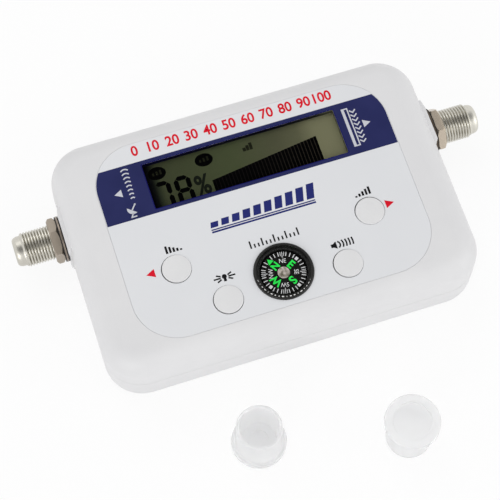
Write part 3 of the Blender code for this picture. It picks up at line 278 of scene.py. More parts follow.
# Display
MASK_WALL = 0.00008
CELL_PLATE_RISE = 0.0012
POLARISER_RISE = 0.0002
BORDER_WIDTH = 0.0014
BORDER_THICKNESS = 0.0002
DIGIT_PLACES = ((-0.02595, 0.00755), (-0.02038, 0.00755))
DIGIT_SIZE = (0.0046, 0.0087)
DIGIT_STROKE = 0.00130
DIGIT_GAP_SHARE = 0.06
PERCENT_PLACE = (-0.01300, 0.01195)
PERCENT_HEIGHT = 0.0061
PERCENT_WIDTH_SHARE = 0.74
PERCENT_BOLDNESS = 0.026
GRAPH_COUNT = 32
GRAPH_START_X = -0.01022
GRAPH_PITCH = 0.000972
GRAPH_WIDTH = 0.00070
GRAPH_BASE_Y = 0.0080
GRAPH_LOW_Y = 0.01235
GRAPH_HIGH_Y = 0.01640
FLAG_PLACES = ((-0.0239, 0.0189), (-0.0106, 0.0189))
FLAG_RADII = (0.0025, 0.0019)
FLAG_BAR_PITCH = 0.42
FLAG_BAR_HALF = 0.11
FLAG_BAR_FOOT = 0.3
FLAG_BAR_TOPS = ((-1, 0.16), (0, 0.30), (1, 0.44))
DIM_MARK = (0.0018, 0.0190)
DIM_MARK_SIZE = (0.0027, 0.0021)
DIM_BAR_PITCH = 0.36
DIM_BAR_HALF = 0.00042
DIM_BAR_TOPS = ((-1, 0.5), (0, 0.75), (1, 1.0))

# Studio
AMBIENT_LEVEL = 0.72
CEILING_LEVEL = 0.20
CEILING_START = 0.68
CEILING_END = 0.90
FLOOR_COLOUR = 0.93
FLOOR_GLOW_SHARE = 0.88
FLOOR_HALF = 3.0
FLOOR_ROUGHNESS = 0.9
WHITE = (1.0, 1.0, 1.0, 1.0)
LOOKING_RAYS = ("Is Camera Ray", "Is Glossy Ray", "Is Transmission Ray")
LAMPS = [
    ("key", (-0.78, -0.82, 0.42), 0.60, 3.2),
    ("fill", (0.95, -0.55, 0.40), 0.70, 2.8),
    ("top", (-0.20, 0.70, 1.05), 0.80, 2.4),
]

# Finishes: height of the grain, its stretch round the ports' axis where turned, and scatter of light
MOULDED_RELIEF = 0.000012
PLAIN_RELIEF = 0.00001
PRINT_RELIEF = 0.000004
CLEAR_RELIEF = 0.000002
POLISHED_RELIEF = 0.000001
SMOOTH_RELIEF = 0.000006
EVEN = (1.0, 1.0, 1.0)
TURNED = (1.0, 0.15, 0.15)
SHALLOW_SCATTER = (0.002, 0.002, 0.002)
DEEP_SCATTER = (0.009, 0.009, 0.009)

# Smoothness
CORNER_STEPS = 20
FILLET_STEPS = 14
ROUND_STEPS = 96
SMALL_ROUND_STEPS = 40
LETTER_STEPS = 6
WINDOW_CORNER_STEPS = 4
OVERRUN = 0.0004
WELD = 0.0000001
SHARP_DEGREES = 32.0

# Half the thickness of letters as written, before their faces are moved to the faces of the print
LETTER_EXTRUSION = 0.1


def middle(low, high):
    return (low + high) / 2


def node_centre(name):
    return middle(*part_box(name))


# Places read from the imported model
UPPER_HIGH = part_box("upper_shell")[1]
LABEL_LOW, LABEL_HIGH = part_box("face_label")
PANE_LOW, PANE_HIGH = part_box("display_window")
CELL_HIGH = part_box("lcd_glass")[1]
CUP_LOW, CUP_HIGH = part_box("compass_cup")
DOME_LOW, DOME_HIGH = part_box("compass_dome")
CARD_LOW, CARD_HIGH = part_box("compass_card")
BOARD_LOW, BOARD_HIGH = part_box("circuit_board")
CASE_DEPTH = 2 * UPPER_HIGH.y
CASE_HEIGHT = UPPER_HIGH.z
LABEL_LENGTH = LABEL_HIGH.x - LABEL_LOW.x
LABEL_DEPTH = LABEL_HIGH.y - LABEL_LOW.y
WINDOW_LENGTH = PANE_HIGH.x - PANE_LOW.x - 2 * PANE_MARGIN
WINDOW_DEPTH = PANE_HIGH.y - PANE_LOW.y - 2 * PANE_MARGIN
WINDOW_PLACE = (0.0, middle(PANE_LOW.y, PANE_HIGH.y))
COMPASS_PLACE = (middle(CUP_LOW.x, CUP_HIGH.x), middle(CUP_LOW.y, CUP_HIGH.y))
CUP_RADIUS = (CUP_HIGH.x - CUP_LOW.x) / 2
PORT_Y = node_centre("right_barrel").y
PORT_HEIGHT = node_centre("right_barrel").z
SEAM_HEIGHT = PORT_HEIGHT
BUTTONS = list(BUTTON_CRACK_SHIFTS)
SIDES = {"left": -1, "right": 1}
CASE_SCREWS = ["case_screw_%d" % number for number in range(1, 5)]
BOARD_SCREWS = ["board_screw_%d" % number for number in range(1, 5)]


class Tree:
    """Node tree of a material or of the world, with short ways to add nodes."""

    def __init__(self, owner):
        owner.use_nodes = True
        self.nodes = owner.node_tree.nodes
        self.links = owner.node_tree.links

    def feed(self, node, sockets):
        """Give each input a value, or link another node's output to it."""
        for key, value in sockets.items():
            if isinstance(value, bpy.types.NodeSocket):
                self.links.new(value, node.inputs[key])
            else:
                node.inputs[key].default_value = value

    def feed_shader(self, sockets):
        self.feed(self.nodes["Principled BSDF"], sockets)

    def add(self, kind, output, sockets, operation=None):
        """Add a node, feed it and return one of its outputs."""
        node = self.nodes.new(kind)
        if operation:
            node.operation = operation
        self.feed(node, sockets)
        return node.outputs[output]

    def coordinates(self, output="Object"):
        return self.add("ShaderNodeTexCoord", output, {})

    def part(self, vector, axis):
        return self.add("ShaderNodeSeparateXYZ", axis, {"Vector": vector})

    def calculate(self, operation, *values):
        return self.add("ShaderNodeMath", "Value", dict(enumerate(values)), operation)

    def vector(self, operation, output, *values):
        return self.add("ShaderNodeVectorMath", output, dict(enumerate(values)), operation)

    def noise(self, coordinates, scale, detail=3.0, stretch=EVEN):
        vector = self.add("ShaderNodeMapping", "Vector", {"Vector": coordinates, "Scale": stretch})
        return self.add("ShaderNodeTexNoise", "Fac", {"Vector": vector, "Scale": scale, "Detail": detail})

    def ramp(self, factor, stops):
        """Colour that runs through (position, colour) stops."""
        colour = self.add("ShaderNodeValToRGB", "Color", {"Fac": factor})
        elements = colour.node.color_ramp.elements
        while len(elements) < len(stops):
            elements.new(0.5)
        for element, (position, tone) in zip(elements, stops):
            element.position = position
            element.color = (*tone, 1.0)
        return colour

    def two_tones(self, factor, dark, light):
        return self.ramp(factor, [(0.35, dark), (0.65, light)])

    def rescale(self, factor, low, high, source_low=0.3, source_high=0.7):
        """Map a factor from its source range to low and high."""
        sockets = {"From Min": source_low, "From Max": source_high, "To Min": low, "To Max": high}
        return self.add("ShaderNodeMapRange", "Result", {"Value": factor, **sockets})

    def bump(self, height, strength, distance):
        sockets = {"Height": height, "Strength": strength, "Distance": distance}
        return self.add("ShaderNodeBump", "Normal", sockets)


def surface(
    name, dark, light, rough, sockets=None, patch=60.0, grain=1800.0, relief=PLAIN_RELIEF, stretch=EVEN
):
    """Procedural finish: colour patches between two tones, uneven roughness and a fine grain in relief."""
    material = bpy.data.materials.new(name)
    tree = Tree(material)
    coordinates = tree.coordinates()
    patches = tree.noise(coordinates, patch, stretch=stretch)
    fine = tree.noise(coordinates, grain, 2.0, stretch)
    tree.feed_shader({
        "Base Color": tree.two_tones(patches, dark, light),
        "Roughness": tree.rescale(patches, *rough),
        "Normal": tree.bump(fine, 0.5, relief),
        **(sockets or {}),
    })
    return material


def ink(name, dark, light, gloss=0.06):
    """Matt print with little reflection and a fine screen grain."""
    sockets = {"Specular IOR Level": gloss}
    return surface(name, dark, light, (0.34, 0.46), sockets, 90.0, 3200.0, PRINT_RELIEF)


def metal(name, dark, light, rough, patch):
    return surface(name, dark, light, rough, {"Metallic": 1.0}, patch)


def nickel(name, dark, light, rough):
    """Dull plated metal with turning marks round the ports' axis."""
    return surface(name, dark, light, rough, {"Metallic": 0.6}, 260.0, 5200.0, SMOOTH_RELIEF, TURNED)


def clear_plastic(name, opacity):
    """Clear polished moulding with faint haze."""
    sockets = {"Alpha": opacity, "IOR": 1.49, "Specular IOR Level": 0.0}
    tones = [(0.010, 0.011, 0.012), (0.014, 0.015, 0.016)]
    return surface(name, *tones, (0.03, 0.07), sockets, relief=CLEAR_RELIEF)


def graded(name, gloss, stops, drift=0.0, patch=90.0, rough=(0.45, 0.60), grain=3200.0):
    """Matt finish whose colour changes along the display, from its left end to its right."""
    material = bpy.data.materials.new(name)
    tree = Tree(material)
    coordinates = tree.coordinates()
    along = tree.rescale(tree.part(coordinates, "X"), 0.0, 1.0, -WINDOW_LENGTH / 2, WINDOW_LENGTH / 2)
    patches = tree.noise(coordinates, patch)
    tree.feed_shader({
        "Base Color": tree.ramp(tree.calculate("MULTIPLY_ADD", patches, drift, along), stops),
        "Roughness": tree.rescale(patches, *rough),
        "Specular IOR Level": gloss,
        "Normal": tree.bump(tree.noise(coordinates, grain), 0.3, PRINT_RELIEF),
    })
    return material


def display_cell_painted_shading():
    """Olive liquid crystal cell with a painted shadow of the opening's edge at its left end and painted
    light that brightens it towards its right end, with a fine polariser grain.
    """
    # The lowest stops paint the shadow that the left edge of the opening casts on the cell; the rise towards
    # the right end paints light falling more brightly there.
    stops = [
        (0.036, (0.0012, 0.0012, 0.0030)),
        (0.055, (0.006, 0.007, 0.006)),
        (0.074, (0.026, 0.032, 0.018)),
        (0.095, (0.051, 0.059, 0.030)),
        (0.480, (0.066, 0.080, 0.038)),
        (0.710, (0.084, 0.087, 0.050)),
        (0.820, (0.112, 0.114, 0.066)),
        (0.900, (0.188, 0.188, 0.110)),
        (1.000, (0.215, 0.214, 0.126)),
    ]
    return graded("lcd_cell_painted_shading", 0.0, stops, 0.06, 45.0, (0.22, 0.34), 4000.0)


def display_liner_painted_shade():
    """Liner of painted shade on the walls of the display opening, with its printed border: it takes up the
    navy of the band at its left end and the olive of the cell at its right.
    """
    return graded("display_liner_painted_shade", 0.05, [
        (0.00, (0.0020, 0.0020, 0.0180)),
        (0.50, (0.0040, 0.0040, 0.0100)),
        (0.70, (0.0040, 0.0040, 0.0100)),
        (0.92, (0.0200, 0.0210, 0.0180)),
        (1.00, (0.1100, 0.1100, 0.0700)),
    ])


def display_gap_painted_shadow():
    """Painted shadow that the bars of the graph cast on the cell between them, lighter towards the right end
    with the cell's painted light.
    """
    return graded("lcd_gap_painted_shadow", 0.0, [
        (0.00, (0.0020, 0.0016, 0.0018)),
        (0.50, (0.0070, 0.0058, 0.0060)),
        (1.00, (0.0260, 0.0215, 0.0160)),
    ])


def threaded_nickel():
    """Plated barrel with painted shade in the grooves of its thread, and a darker, duller nose."""
    material = bpy.data.materials.new("nickel_plate")
    tree = Tree(material)
    coordinates = tree.coordinates()
    offset = tree.vector("SUBTRACT", "Vector", coordinates, (0.0, PORT_Y, PORT_HEIGHT))
    across = tree.vector("MULTIPLY", "Vector", offset, (0.0, 1.0, 1.0))
    reach = tree.vector("LENGTH", "Value", across)
    crest = THREAD_RADIUS - THREAD_DEPTH * GROOVE_UNSHADED_SHARE
    # Painted shade: the colour darkens from the crest down into the roots of the thread, where shade falls;
    # the nose takes the same darker tone.
    groove = tree.rescale(reach, 0.0, 1.0, THREAD_RADIUS - THREAD_DEPTH, crest)
    nose_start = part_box("right_barrel")[1].x - NOSE_LENGTH - THREAD_CHAMFER
    along = tree.calculate("ABSOLUTE", tree.part(coordinates, "X"))
    nose = tree.calculate("GREATER_THAN", along, nose_start)
    patches = tree.noise(coordinates, 260.0, stretch=TURNED)
    mix = tree.nodes.new("ShaderNodeMix")
    mix.data_type = "RGBA"
    tree.feed(mix, {
        "Factor": tree.calculate("MAXIMUM", groove, nose),
        "A": (0.47, 0.455, 0.41, 1.0),
        "B": tree.two_tones(patches, (0.58, 0.56, 0.505), (0.72, 0.70, 0.635)),
    })
    fine = tree.noise(coordinates, 5200.0, 2.0, TURNED)
    tree.feed_shader({
        "Base Color": mix.outputs["Result"],
        "Roughness": tree.calculate("MULTIPLY_ADD", nose, 0.12, tree.rescale(patches, 0.24, 0.34)),
        "Metallic": 1.0,
        "Normal": tree.bump(fine, 0.5, SMOOTH_RELIEF),
    })
    return material


def case_plastic():
    """White moulded case, softly scattering, with a fine grain."""
    return surface(
        "case_plastic", (0.730, 0.728, 0.738), (0.752, 0.750, 0.758), (0.42, 0.50),
        {"Subsurface Weight": 0.08, "Subsurface Radius": SHALLOW_SCATTER, "Specular IOR Level": 0.42},
        grain=2600.0, relief=MOULDED_RELIEF,
    )


def label_film():
    """Pale satin overlay film."""
    return surface(
        "label_film", (0.734, 0.744, 0.766), (0.749, 0.758, 0.778), (0.30, 0.36),
        {"Specular IOR Level": 0.40}, 40.0, 3200.0, PRINT_RELIEF,
    )


def button_plastic():
    """Smooth moulded keys, a little warmer than the film."""
    return surface(
        "button_plastic", (0.735, 0.735, 0.742), (0.755, 0.755, 0.760), (0.34, 0.42),
        {"Subsurface Weight": 0.06, "Subsurface Radius": SHALLOW_SCATTER}, relief=SMOOTH_RELIEF,
    )


def cap_plastic():
    """Translucent natural polythene."""
    return surface(
        "cap_polythene", (0.972, 0.974, 0.988), (0.982, 0.984, 0.996), (0.36, 0.46),
        {
            "Alpha": 0.56,
            "Transmission Weight": 0.3,
            "Subsurface Weight": 0.7,
            "Subsurface Radius": DEEP_SCATTER,
            "Subsurface Scale": 1.0,
            "IOR": 1.5,
        },
        160.0, relief=MOULDED_RELIEF,
    )


def compass_black():
    """Polished black moulding of the cup."""
    return surface(
        "compass_black", (0.016, 0.016, 0.015), (0.021, 0.021, 0.020), (0.10, 0.16),
        {"Specular IOR Level": 0.20}, relief=POLISHED_RELIEF,
    )


def make_materials():
    """Every finish of the object, by name."""
    return {
        "case": case_plastic(),
        "film": label_film(),
        "button": button_plastic(),
        "cap": cap_plastic(),
        "cup": compass_black(),
        "mask_and_shade": display_liner_painted_shade(),
        "gap": display_gap_painted_shadow(),
        "cell": display_cell_painted_shading(),
        "nickel": threaded_nickel(),
        "clear": clear_plastic("clear_plastic", 0.04),
        "dome": clear_plastic("clear_dome", 0.03),
        "band": ink("ink_navy", (0.019, 0.023, 0.096), (0.024, 0.028, 0.112)),
        "blue": ink("ink_blue", (0.018, 0.024, 0.150), (0.022, 0.029, 0.172)),
        "deep_blue": ink("ink_deep_blue", (0.007, 0.008, 0.105), (0.010, 0.011, 0.125)),
        "red": ink("ink_red", (0.640, 0.006, 0.020), (0.720, 0.010, 0.028)),
        "black": ink("ink_black", (0.006, 0.006, 0.007), (0.011, 0.011, 0.012)),
        "white": ink("ink_white", (0.560, 0.570, 0.620), (0.620, 0.630, 0.680)),
        "green": ink("ink_green", (0.024, 0.920, 0.090), (0.034, 0.960, 0.110)),
        "segment": ink("lcd_segment", (0.0004, 0.0004, 0.0003), (0.0010, 0.0010, 0.0008), 0.0),
        "faint": ink("lcd_faint", (0.010, 0.011, 0.006), (0.016, 0.017, 0.009), 0.0),
        "percent": ink("lcd_percent", (0.007, 0.009, 0.006), (0.011, 0.014, 0.009), 0.0),
        "dim": ink("lcd_dim", (0.011, 0.012, 0.006), (0.016, 0.017, 0.009), 0.0),
        "card": ink("card_black", (0.008, 0.008, 0.007), (0.011, 0.011, 0.010)),
        "card_white": ink("card_white", (0.820, 0.830, 0.840), (0.880, 0.890, 0.900)),
        "glint": ink("rim_glint", (0.760, 0.760, 0.750), (0.840, 0.840, 0.830)),
        "hub": surface(
            "hub_metal", (0.210, 0.190, 0.140), (0.840, 0.760, 0.690), (0.25, 0.40), {"Metallic": 0.35},
            patch=900.0,
        ),
        "white_plastic": surface("white_plastic", (0.80, 0.80, 0.79), (0.84, 0.84, 0.83), (0.45, 0.55)),
        "black_plastic": surface(
            "black_plastic", (0.012, 0.012, 0.013), (0.020, 0.020, 0.021), (0.35, 0.45)
        ),
        "shadow_ring": surface("shadow_ring_painted_shade", (0.008, 0.007, 0.006), (0.016, 0.014, 0.012), (0.70, 0.80)),
        "rubber": surface("contact_rubber", (0.30, 0.26, 0.24), (0.40, 0.34, 0.32), (0.75, 0.85)),
        "board": surface(
            "board_laminate", (0.018, 0.150, 0.050), (0.030, 0.210, 0.075), (0.30, 0.45), patch=420.0
        ),
        "magnet": surface("magnet_grey", (0.16, 0.16, 0.17), (0.24, 0.24, 0.25), (0.45, 0.60), patch=700.0),
        "tin": metal("tinned_steel", (0.58, 0.58, 0.56), (0.68, 0.68, 0.66), (0.28, 0.42), 240.0),
        "zinc": metal("zinc_steel", (0.50, 0.50, 0.52), (0.62, 0.62, 0.64), (0.30, 0.42), 500.0),
        "brass": metal("brass", (0.66, 0.48, 0.25), (0.76, 0.57, 0.32), (0.24, 0.34), 500.0),
        "can": metal("aluminium_can", (0.66, 0.67, 0.69), (0.74, 0.75, 0.77), (0.24, 0.36), 300.0),
        # The two nuts are one satin nickel in two tones: the left one darkened as painted shade, the right
        # one paled as painted light.
        "left_nut": nickel("nickel_satin_painted_shade", (0.315, 0.270, 0.215), (0.385, 0.330, 0.268), (0.24, 0.34)),
        "right_nut": nickel("nickel_satin_painted_light", (0.570, 0.490, 0.395), (0.680, 0.590, 0.480), (0.24, 0.34)),
        # Both washers are darkened as painted shade, the right one most.
        "left_washer": nickel("nickel_washer_painted_shade", (0.230, 0.190, 0.155), (0.310, 0.260, 0.215), (0.20, 0.30)),
        "right_washer": nickel("nickel_washer_deep_painted_shade", (0.110, 0.082, 0.058), (0.160, 0.122, 0.088), (0.30, 0.42)),
    }


def rounded_rectangle(length, depth, radius, centre=(0.0, 0.0), inset=0.0, steps=CORNER_STEPS):
    """Outline of a rectangle with round corners, drawn in by an inset, as (x, y) points."""
    corner = radius - inset
    half_x = length / 2 - radius
    half_y = depth / 2 - radius
    points = []
    for quarter, (sign_x, sign_y) in enumerate([(1, 1), (-1, 1), (-1, -1), (1, -1)]):
        for step in range(steps + 1):
            angle = math.radians(90) * (quarter + step / steps)
            x = centre[0] + sign_x * half_x + corner * math.cos(angle)
            y = centre[1] + sign_y * half_y + corner * math.sin(angle)
            points.append((x, y))
    return points


def circle(radius, centre=(0.0, 0.0), steps=ROUND_STEPS):
    points = []
    for step in range(steps):
        angle = 2 * math.pi * step / steps
        points.append((centre[0] + radius * math.cos(angle), centre[1] + radius * math.sin(angle)))
    return points


def arc(centre, radius, start_degrees, end_degrees, steps=8):
    """Points of an arc, both ends included."""
    points = []
    for step in range(steps + 1):
        angle = math.radians(start_degrees + (end_degrees - start_degrees) * step / steps)
        points.append((centre[0] + radius * math.cos(angle), centre[1] + radius * math.sin(angle)))
    return points


def crown(radius, rim, top, steps=12):
    """Points of a shallow crown from its rim to the axis."""
    rise = top - rim
    sphere = (radius ** 2 + rise ** 2) / (2 * rise)
    half_angle = math.asin(radius / sphere)
    points = []
    for step in range(steps + 1):
        angle = half_angle * (1 - step / steps)
        points.append((sphere * math.sin(angle), top - sphere * (1 - math.cos(angle))))
    return points


def add_skin(bm, rings):
    """Join each ring of corners to the one after it; a ring may be a single point."""
    for lower, upper in zip(rings, rings[1:]):
        steps = max(len(lower), len(upper))
        for step in range(steps):
            after = (step + 1) % steps
            corners = [lower[step % len(lower)], lower[after % len(lower)]]
            corners += [upper[after % len(upper)], upper[step % len(upper)]]
            distinct = list(dict.fromkeys(corners))
            if len(distinct) > 2:
                bm.faces.new(distinct)


def add_loft(bm, sections):
    """Skin level outlines, given from the lowest up as (outline, height), and cap both ends."""
    rings = []
    for outline, height in sections:
        rings.append([bm.verts.new((x, y, height)) for x, y in outline])
    add_skin(bm, rings)
    bm.faces.new(rings[0][::-1])
    bm.faces.new(rings[-1])


def loft(sections):
    bm = bmesh.new()
    add_loft(bm, sections)
    return bm


def add_prism(bm, outline, bottom, top):
    add_loft(bm, [(outline, bottom), (outline, top)])


def prisms(outlines, bottom, top):
    bm = bmesh.new()
    for outline in outlines:
        add_prism(bm, outline, bottom, top)
    return bm


def turned(profile, steps=ROUND_STEPS, depth=None):
    """Skin a closed (radius, height) profile round Z, its points cut in by a depth where one is given."""
    bm = bmesh.new()
    rings = []
    for radius, height in profile:
        ring = []
        for step in range(steps if radius > WELD else 1):
            angle = 2 * math.pi * step / steps
            reach = radius - depth(radius, height, angle) if depth else radius
            ring.append(bm.verts.new((reach * math.cos(angle), reach * math.sin(angle), height)))
        rings.append(ring)
    add_skin(bm, rings + rings[:1])
    return bm


def mirrored(start, end, half):
    """Closed profile from its half at the start, given as (radius, distance from the start)."""
    rest = [(radius, end - rise) for radius, rise in half[::-1]]
    return [(radius, start + rise) for radius, rise in half] + rest


def crisp(mesh):
    """Smooth shading with crisp edges."""
    mesh.shade_smooth()
    mesh.set_sharp_from_angle(angle=math.radians(SHARP_DEGREES))


def shade(piece):
    """Smooth shading with its normals weighted by face area, so that flats stay flat."""
    crisp(piece.data)
    weights = piece.modifiers.new("weighted_normals", "WEIGHTED_NORMAL")
    weights.keep_sharp = True


def build(name, bm, material, place=None):
    """Turn a bmesh into an object with outward faces, its mesh moved to its place."""
    bmesh.ops.recalc_face_normals(bm, faces=bm.faces[:])
    mesh = bpy.data.meshes.new(name)
    bm.to_mesh(mesh)
    bm.free()
    if place is not None:
        mesh.transform(place)
    piece = bpy.data.objects.new(name, mesh)
    bpy.context.scene.collection.objects.link(piece)
    if material is not None:
        mesh.materials.append(material)
    return piece


def combine(piece, steps):
    """Fuse or cut a piece with (operation, bmesh, placing matrix) steps and keep the result as its mesh."""
    tools = []
    for operation, bm, place in steps:
        tool = build("tool", bm, None, place)
        modifier = piece.modifiers.new("tool", "BOOLEAN")
        modifier.operation = operation
        modifier.solver = "EXACT"
        modifier.object = tool
        tools.append(tool)
    graph = bpy.context.evaluated_depsgraph_get()
    mesh = bpy.data.meshes.new_from_object(piece.evaluated_get(graph))
    piece.modifiers.clear()
    piece.data = mesh
    for tool in tools:
        bpy.data.objects.remove(tool, do_unlink=True)


def cut(outlines, bottom, top):
    """Step for combine that takes prisms away."""
    return ("DIFFERENCE", prisms(outlines, bottom, top), None)


def join(outlines, bottom, top):
    """Step for combine that adds prisms."""
    return ("UNION", prisms(outlines, bottom, top), None)


def finish_piece(piece, body, slot, *nodes):
    """Shade a piece, let it ride on its body and hide the nodes that it stands for; its slot is not used."""
    shade(piece)
    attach(piece, body)
    if nodes:
        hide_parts(*nodes)


def make_turned(name, profile, material, place, body, slot, *nodes):
    """Piece turned about Z and moved to its place."""
    piece = build(name, turned(profile), material, place)
    finish_piece(piece, body, slot, *nodes)


def standing(name):
    """Move from the Z axis onto a node's middle."""
    low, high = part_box(name)
    return Matrix.Translation((middle(low.x, high.x), middle(low.y, high.y), 0.0))


def port_matrix(side):
    """From a piece turned about Z to the port's axis, its +Z outward."""
    return Matrix.Translation((0.0, PORT_Y, PORT_HEIGHT)) @ Matrix.Rotation(math.radians(90) * side, 4, "Y")


def draft_inset(height):
    return abs(height - SEAM_HEIGHT) * math.tan(math.radians(DRAFT_DEGREES))


def case_outline(inset):
    return rounded_rectangle(CASE_LENGTH, CASE_DEPTH, CASE_CORNER_RADIUS, inset=inset)


def wall_sections(start, end, inset, fillet):
    """Sections of a drafted wall from the seam side to a filleted end, given from the lowest up."""
    direction = 1 if end > start else -1
    sections = [(case_outline(inset + draft_inset(start)), start)]
    for step in range(FILLET_STEPS + 1):
        angle = math.radians(90) * step / FILLET_STEPS
        height = end - direction * fillet * (1 - math.sin(angle))
        rounding = fillet * (1 - math.cos(angle))
        sections.append((case_outline(inset + draft_inset(height) + rounding), height))
    return sections if direction > 0 else sections[::-1]


def land_outlines():
    """Flat land on each end wall for the port's washer, with sloped ends."""
    root_x = CASE_LENGTH / 2 - LAND_ROOT
    face_x = CASE_LENGTH / 2 + LAND_RISE
    half = LAND_LENGTH / 2
    outlines = []
    for sign in SIDES.values():
        points = [
            (sign * root_x, PORT_Y - half),
            (sign * CASE_LENGTH / 2, PORT_Y - half),
            (sign * face_x, PORT_Y - half + LAND_END_SLOPE),
            (sign * face_x, PORT_Y + half - LAND_BACK_SLOPE),
            (sign * CASE_LENGTH / 2, PORT_Y + half),
            (sign * root_x, PORT_Y + half),
        ]
        outlines.append(points if sign > 0 else points[::-1])
    return outlines


def flat_centre(name):
    centre = node_centre(name)
    return (centre.x, centre.y)


def round_outlines(names, radius):
    return [circle(radius, flat_centre(name), SMALL_ROUND_STEPS) for name in names]


def port_bars():
    """Bars through both end walls along the ports' axis."""
    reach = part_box("right_barrel")[1].x
    outline = circle(THREAD_RADIUS + SCREW_CLEARANCE, steps=SMALL_ROUND_STEPS)
    inner = CASE_LENGTH / 2 - 2 * SIDE_WALL
    bm = bmesh.new()
    add_prism(bm, outline, inner, reach)
    add_prism(bm, outline, -reach, -inner)
    return bm


def window_outline(growth=0.0):
    """Outline of the display opening, made larger or, below zero, smaller on each side."""
    return rounded_rectangle(
        WINDOW_LENGTH + 2 * growth, WINDOW_DEPTH + 2 * growth, WINDOW_RADIUS,
        centre=WINDOW_PLACE, steps=WINDOW_CORNER_STEPS,
    )


def face_openings():
    """Outlines of the openings for the buttons and the display."""
    outlines = []
    for name in BUTTONS:
        x, y = flat_centre(name + "_button")
        shift_x, shift_y = BUTTON_CRACK_SHIFTS[name]
        outlines.append(circle(BUTTON_RADIUS + BUTTON_CRACK, (x + shift_x, y + shift_y)))
    return outlines + [window_outline()]


def label_outline(growth):
    """Outline of the overlay, made larger on each side."""
    corner = LABEL_CORNER_RADIUS + growth
    return rounded_rectangle(LABEL_LENGTH + 2 * growth, LABEL_DEPTH + 2 * growth, corner)


def make_upper_shell(finish):
    """Top half of the case with its bed, openings, well, bosses and posts."""
    underside = CASE_HEIGHT - TOP_WALL
    rim = SEAM_HEIGHT + SEAM_GAP / 2
    groove_top = SEAM_HEIGHT + TONGUE_HEIGHT + SEAM_GAP
    open_top = CASE_HEIGHT + OVERRUN
    shell = build("case_top", loft(wall_sections(rim, CASE_HEIGHT, 0.0, TOP_FILLET)), finish["case"])
    groove = case_outline(SIDE_WALL - TONGUE_WIDTH - SEAM_GAP)
    cavity = [(groove, rim - OVERRUN), (groove, groove_top)]
    cavity += wall_sections(groove_top, underside, SIDE_WALL, CAVITY_FILLET)
    well_radius = CUP_RADIUS + BUTTON_GAP
    well_bed = CUP_LOW.z - BUTTON_GAP
    well = circle(well_radius + WELL_WALL, COMPASS_PLACE)
    pane = rounded_rectangle(
        PANE_HIGH.x - PANE_LOW.x + 2 * BUTTON_GAP, PANE_HIGH.y - PANE_LOW.y + 2 * BUTTON_GAP,
        3 * WINDOW_RADIUS, centre=WINDOW_PLACE, steps=WINDOW_CORNER_STEPS,
    )
    combine(shell, [
        join(land_outlines(), rim, LAND_TOP),
        ("DIFFERENCE", loft(cavity), None),
        join([well], well_bed - WELL_WALL, underside + OVERRUN),
        join(round_outlines(CASE_SCREWS, BOSS_RADIUS), BOARD_LOW.z, underside + OVERRUN),
        join(round_outlines(BOARD_SCREWS, POST_RADIUS), BOARD_HIGH.z + BUTTON_GAP, underside + OVERRUN),
        cut([label_outline(2 * LABEL_GAP)], LABEL_LOW.z - BUTTON_GAP, open_top),
        cut([pane], PANE_LOW.z - BUTTON_GAP, open_top),
        cut(face_openings(), underside - OVERRUN, open_top),
        cut([circle(well_radius, COMPASS_PLACE)], well_bed, open_top),
        ("DIFFERENCE", port_bars(), port_matrix(1)),
    ])
    finish_piece(shell, "case", "case_plastic", "upper_shell")


def make_lower_shell(finish):
    """Bottom half of the case with its tongue, bosses and screw pockets."""
    rim = SEAM_HEIGHT - SEAM_GAP / 2
    tongue_top = SEAM_HEIGHT + TONGUE_HEIGHT
    shell = build("case_base", loft(wall_sections(rim, 0.0, 0.0, BASE_FILLET)), finish["case"])
    cavity = [
        (case_outline(SIDE_WALL + draft_inset(BASE_WALL)), BASE_WALL),
        (case_outline(SIDE_WALL), SEAM_HEIGHT),
        (case_outline(SIDE_WALL), tongue_top + OVERRUN),
    ]
    head_low, head_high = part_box("case_screw_1")
    pocket_radius = (head_high.x - head_low.x) / 2 + SCREW_CLEARANCE
    combine(shell, [
        join([case_outline(SIDE_WALL - TONGUE_WIDTH)], rim - OVERRUN, tongue_top),
        join(land_outlines(), LAND_FOOT, rim),
        ("DIFFERENCE", loft(cavity), None),
        join(round_outlines(CASE_SCREWS, LOWER_BOSS_RADIUS), BASE_WALL - OVERRUN, BOARD_LOW.z),
        cut(round_outlines(CASE_SCREWS, pocket_radius), -OVERRUN, POCKET_DEPTH),
        ("DIFFERENCE", port_bars(), port_matrix(1)),
    ])
    finish_piece(shell, "case", "case_plastic", "lower_shell")


def make_label(finish):
    """Printed overlay film with its cut-outs."""
    outline = label_outline(2 * LABEL_GAP - LABEL_CRACK)
    label = build("overlay_film", prisms([outline], LABEL_LOW.z, LABEL_HIGH.z), finish["film"])
    openings = face_openings() + [circle(CUP_RADIUS + 2 * INK, COMPASS_PLACE)]
    combine(label, [cut(openings, LABEL_LOW.z - OVERRUN, LABEL_HIGH.z + OVERRUN)])
    finish_piece(label, "case", "label_print", "face_label")


def paint_inner_nodes(finish):
    """Finishes of the nodes whose own shape stays."""
    looks = {
        "display_window": "clear",
        "lcd_glass": "cell",
        "lcd_frame": "white_plastic",
        "backlight_diffuser": "white_plastic",
        "lcd_contact_strip": "rubber",
        "circuit_board": "board",
        "rf_shield_can": "tin",
        "controller_chip": "black_plastic",
        "buzzer_sounder": "black_plastic",
        "filter_capacitor": "can",
        "compass_magnet": "magnet",
        "compass_pivot": "brass",
    }
    for name in BUTTONS:
        looks[name + "_switch"] = "black_plastic"
        looks[name + "_plunger"] = "black_plastic"
    for name in BOARD_SCREWS:
        looks[name] = "zinc"
    for side_name in SIDES:
        looks[side_name + "_contact"] = "brass"
    for name, look in looks.items():
        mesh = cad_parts[name].data
        mesh.materials.clear()
        mesh.materials.append(finish[look])
        crisp(mesh)


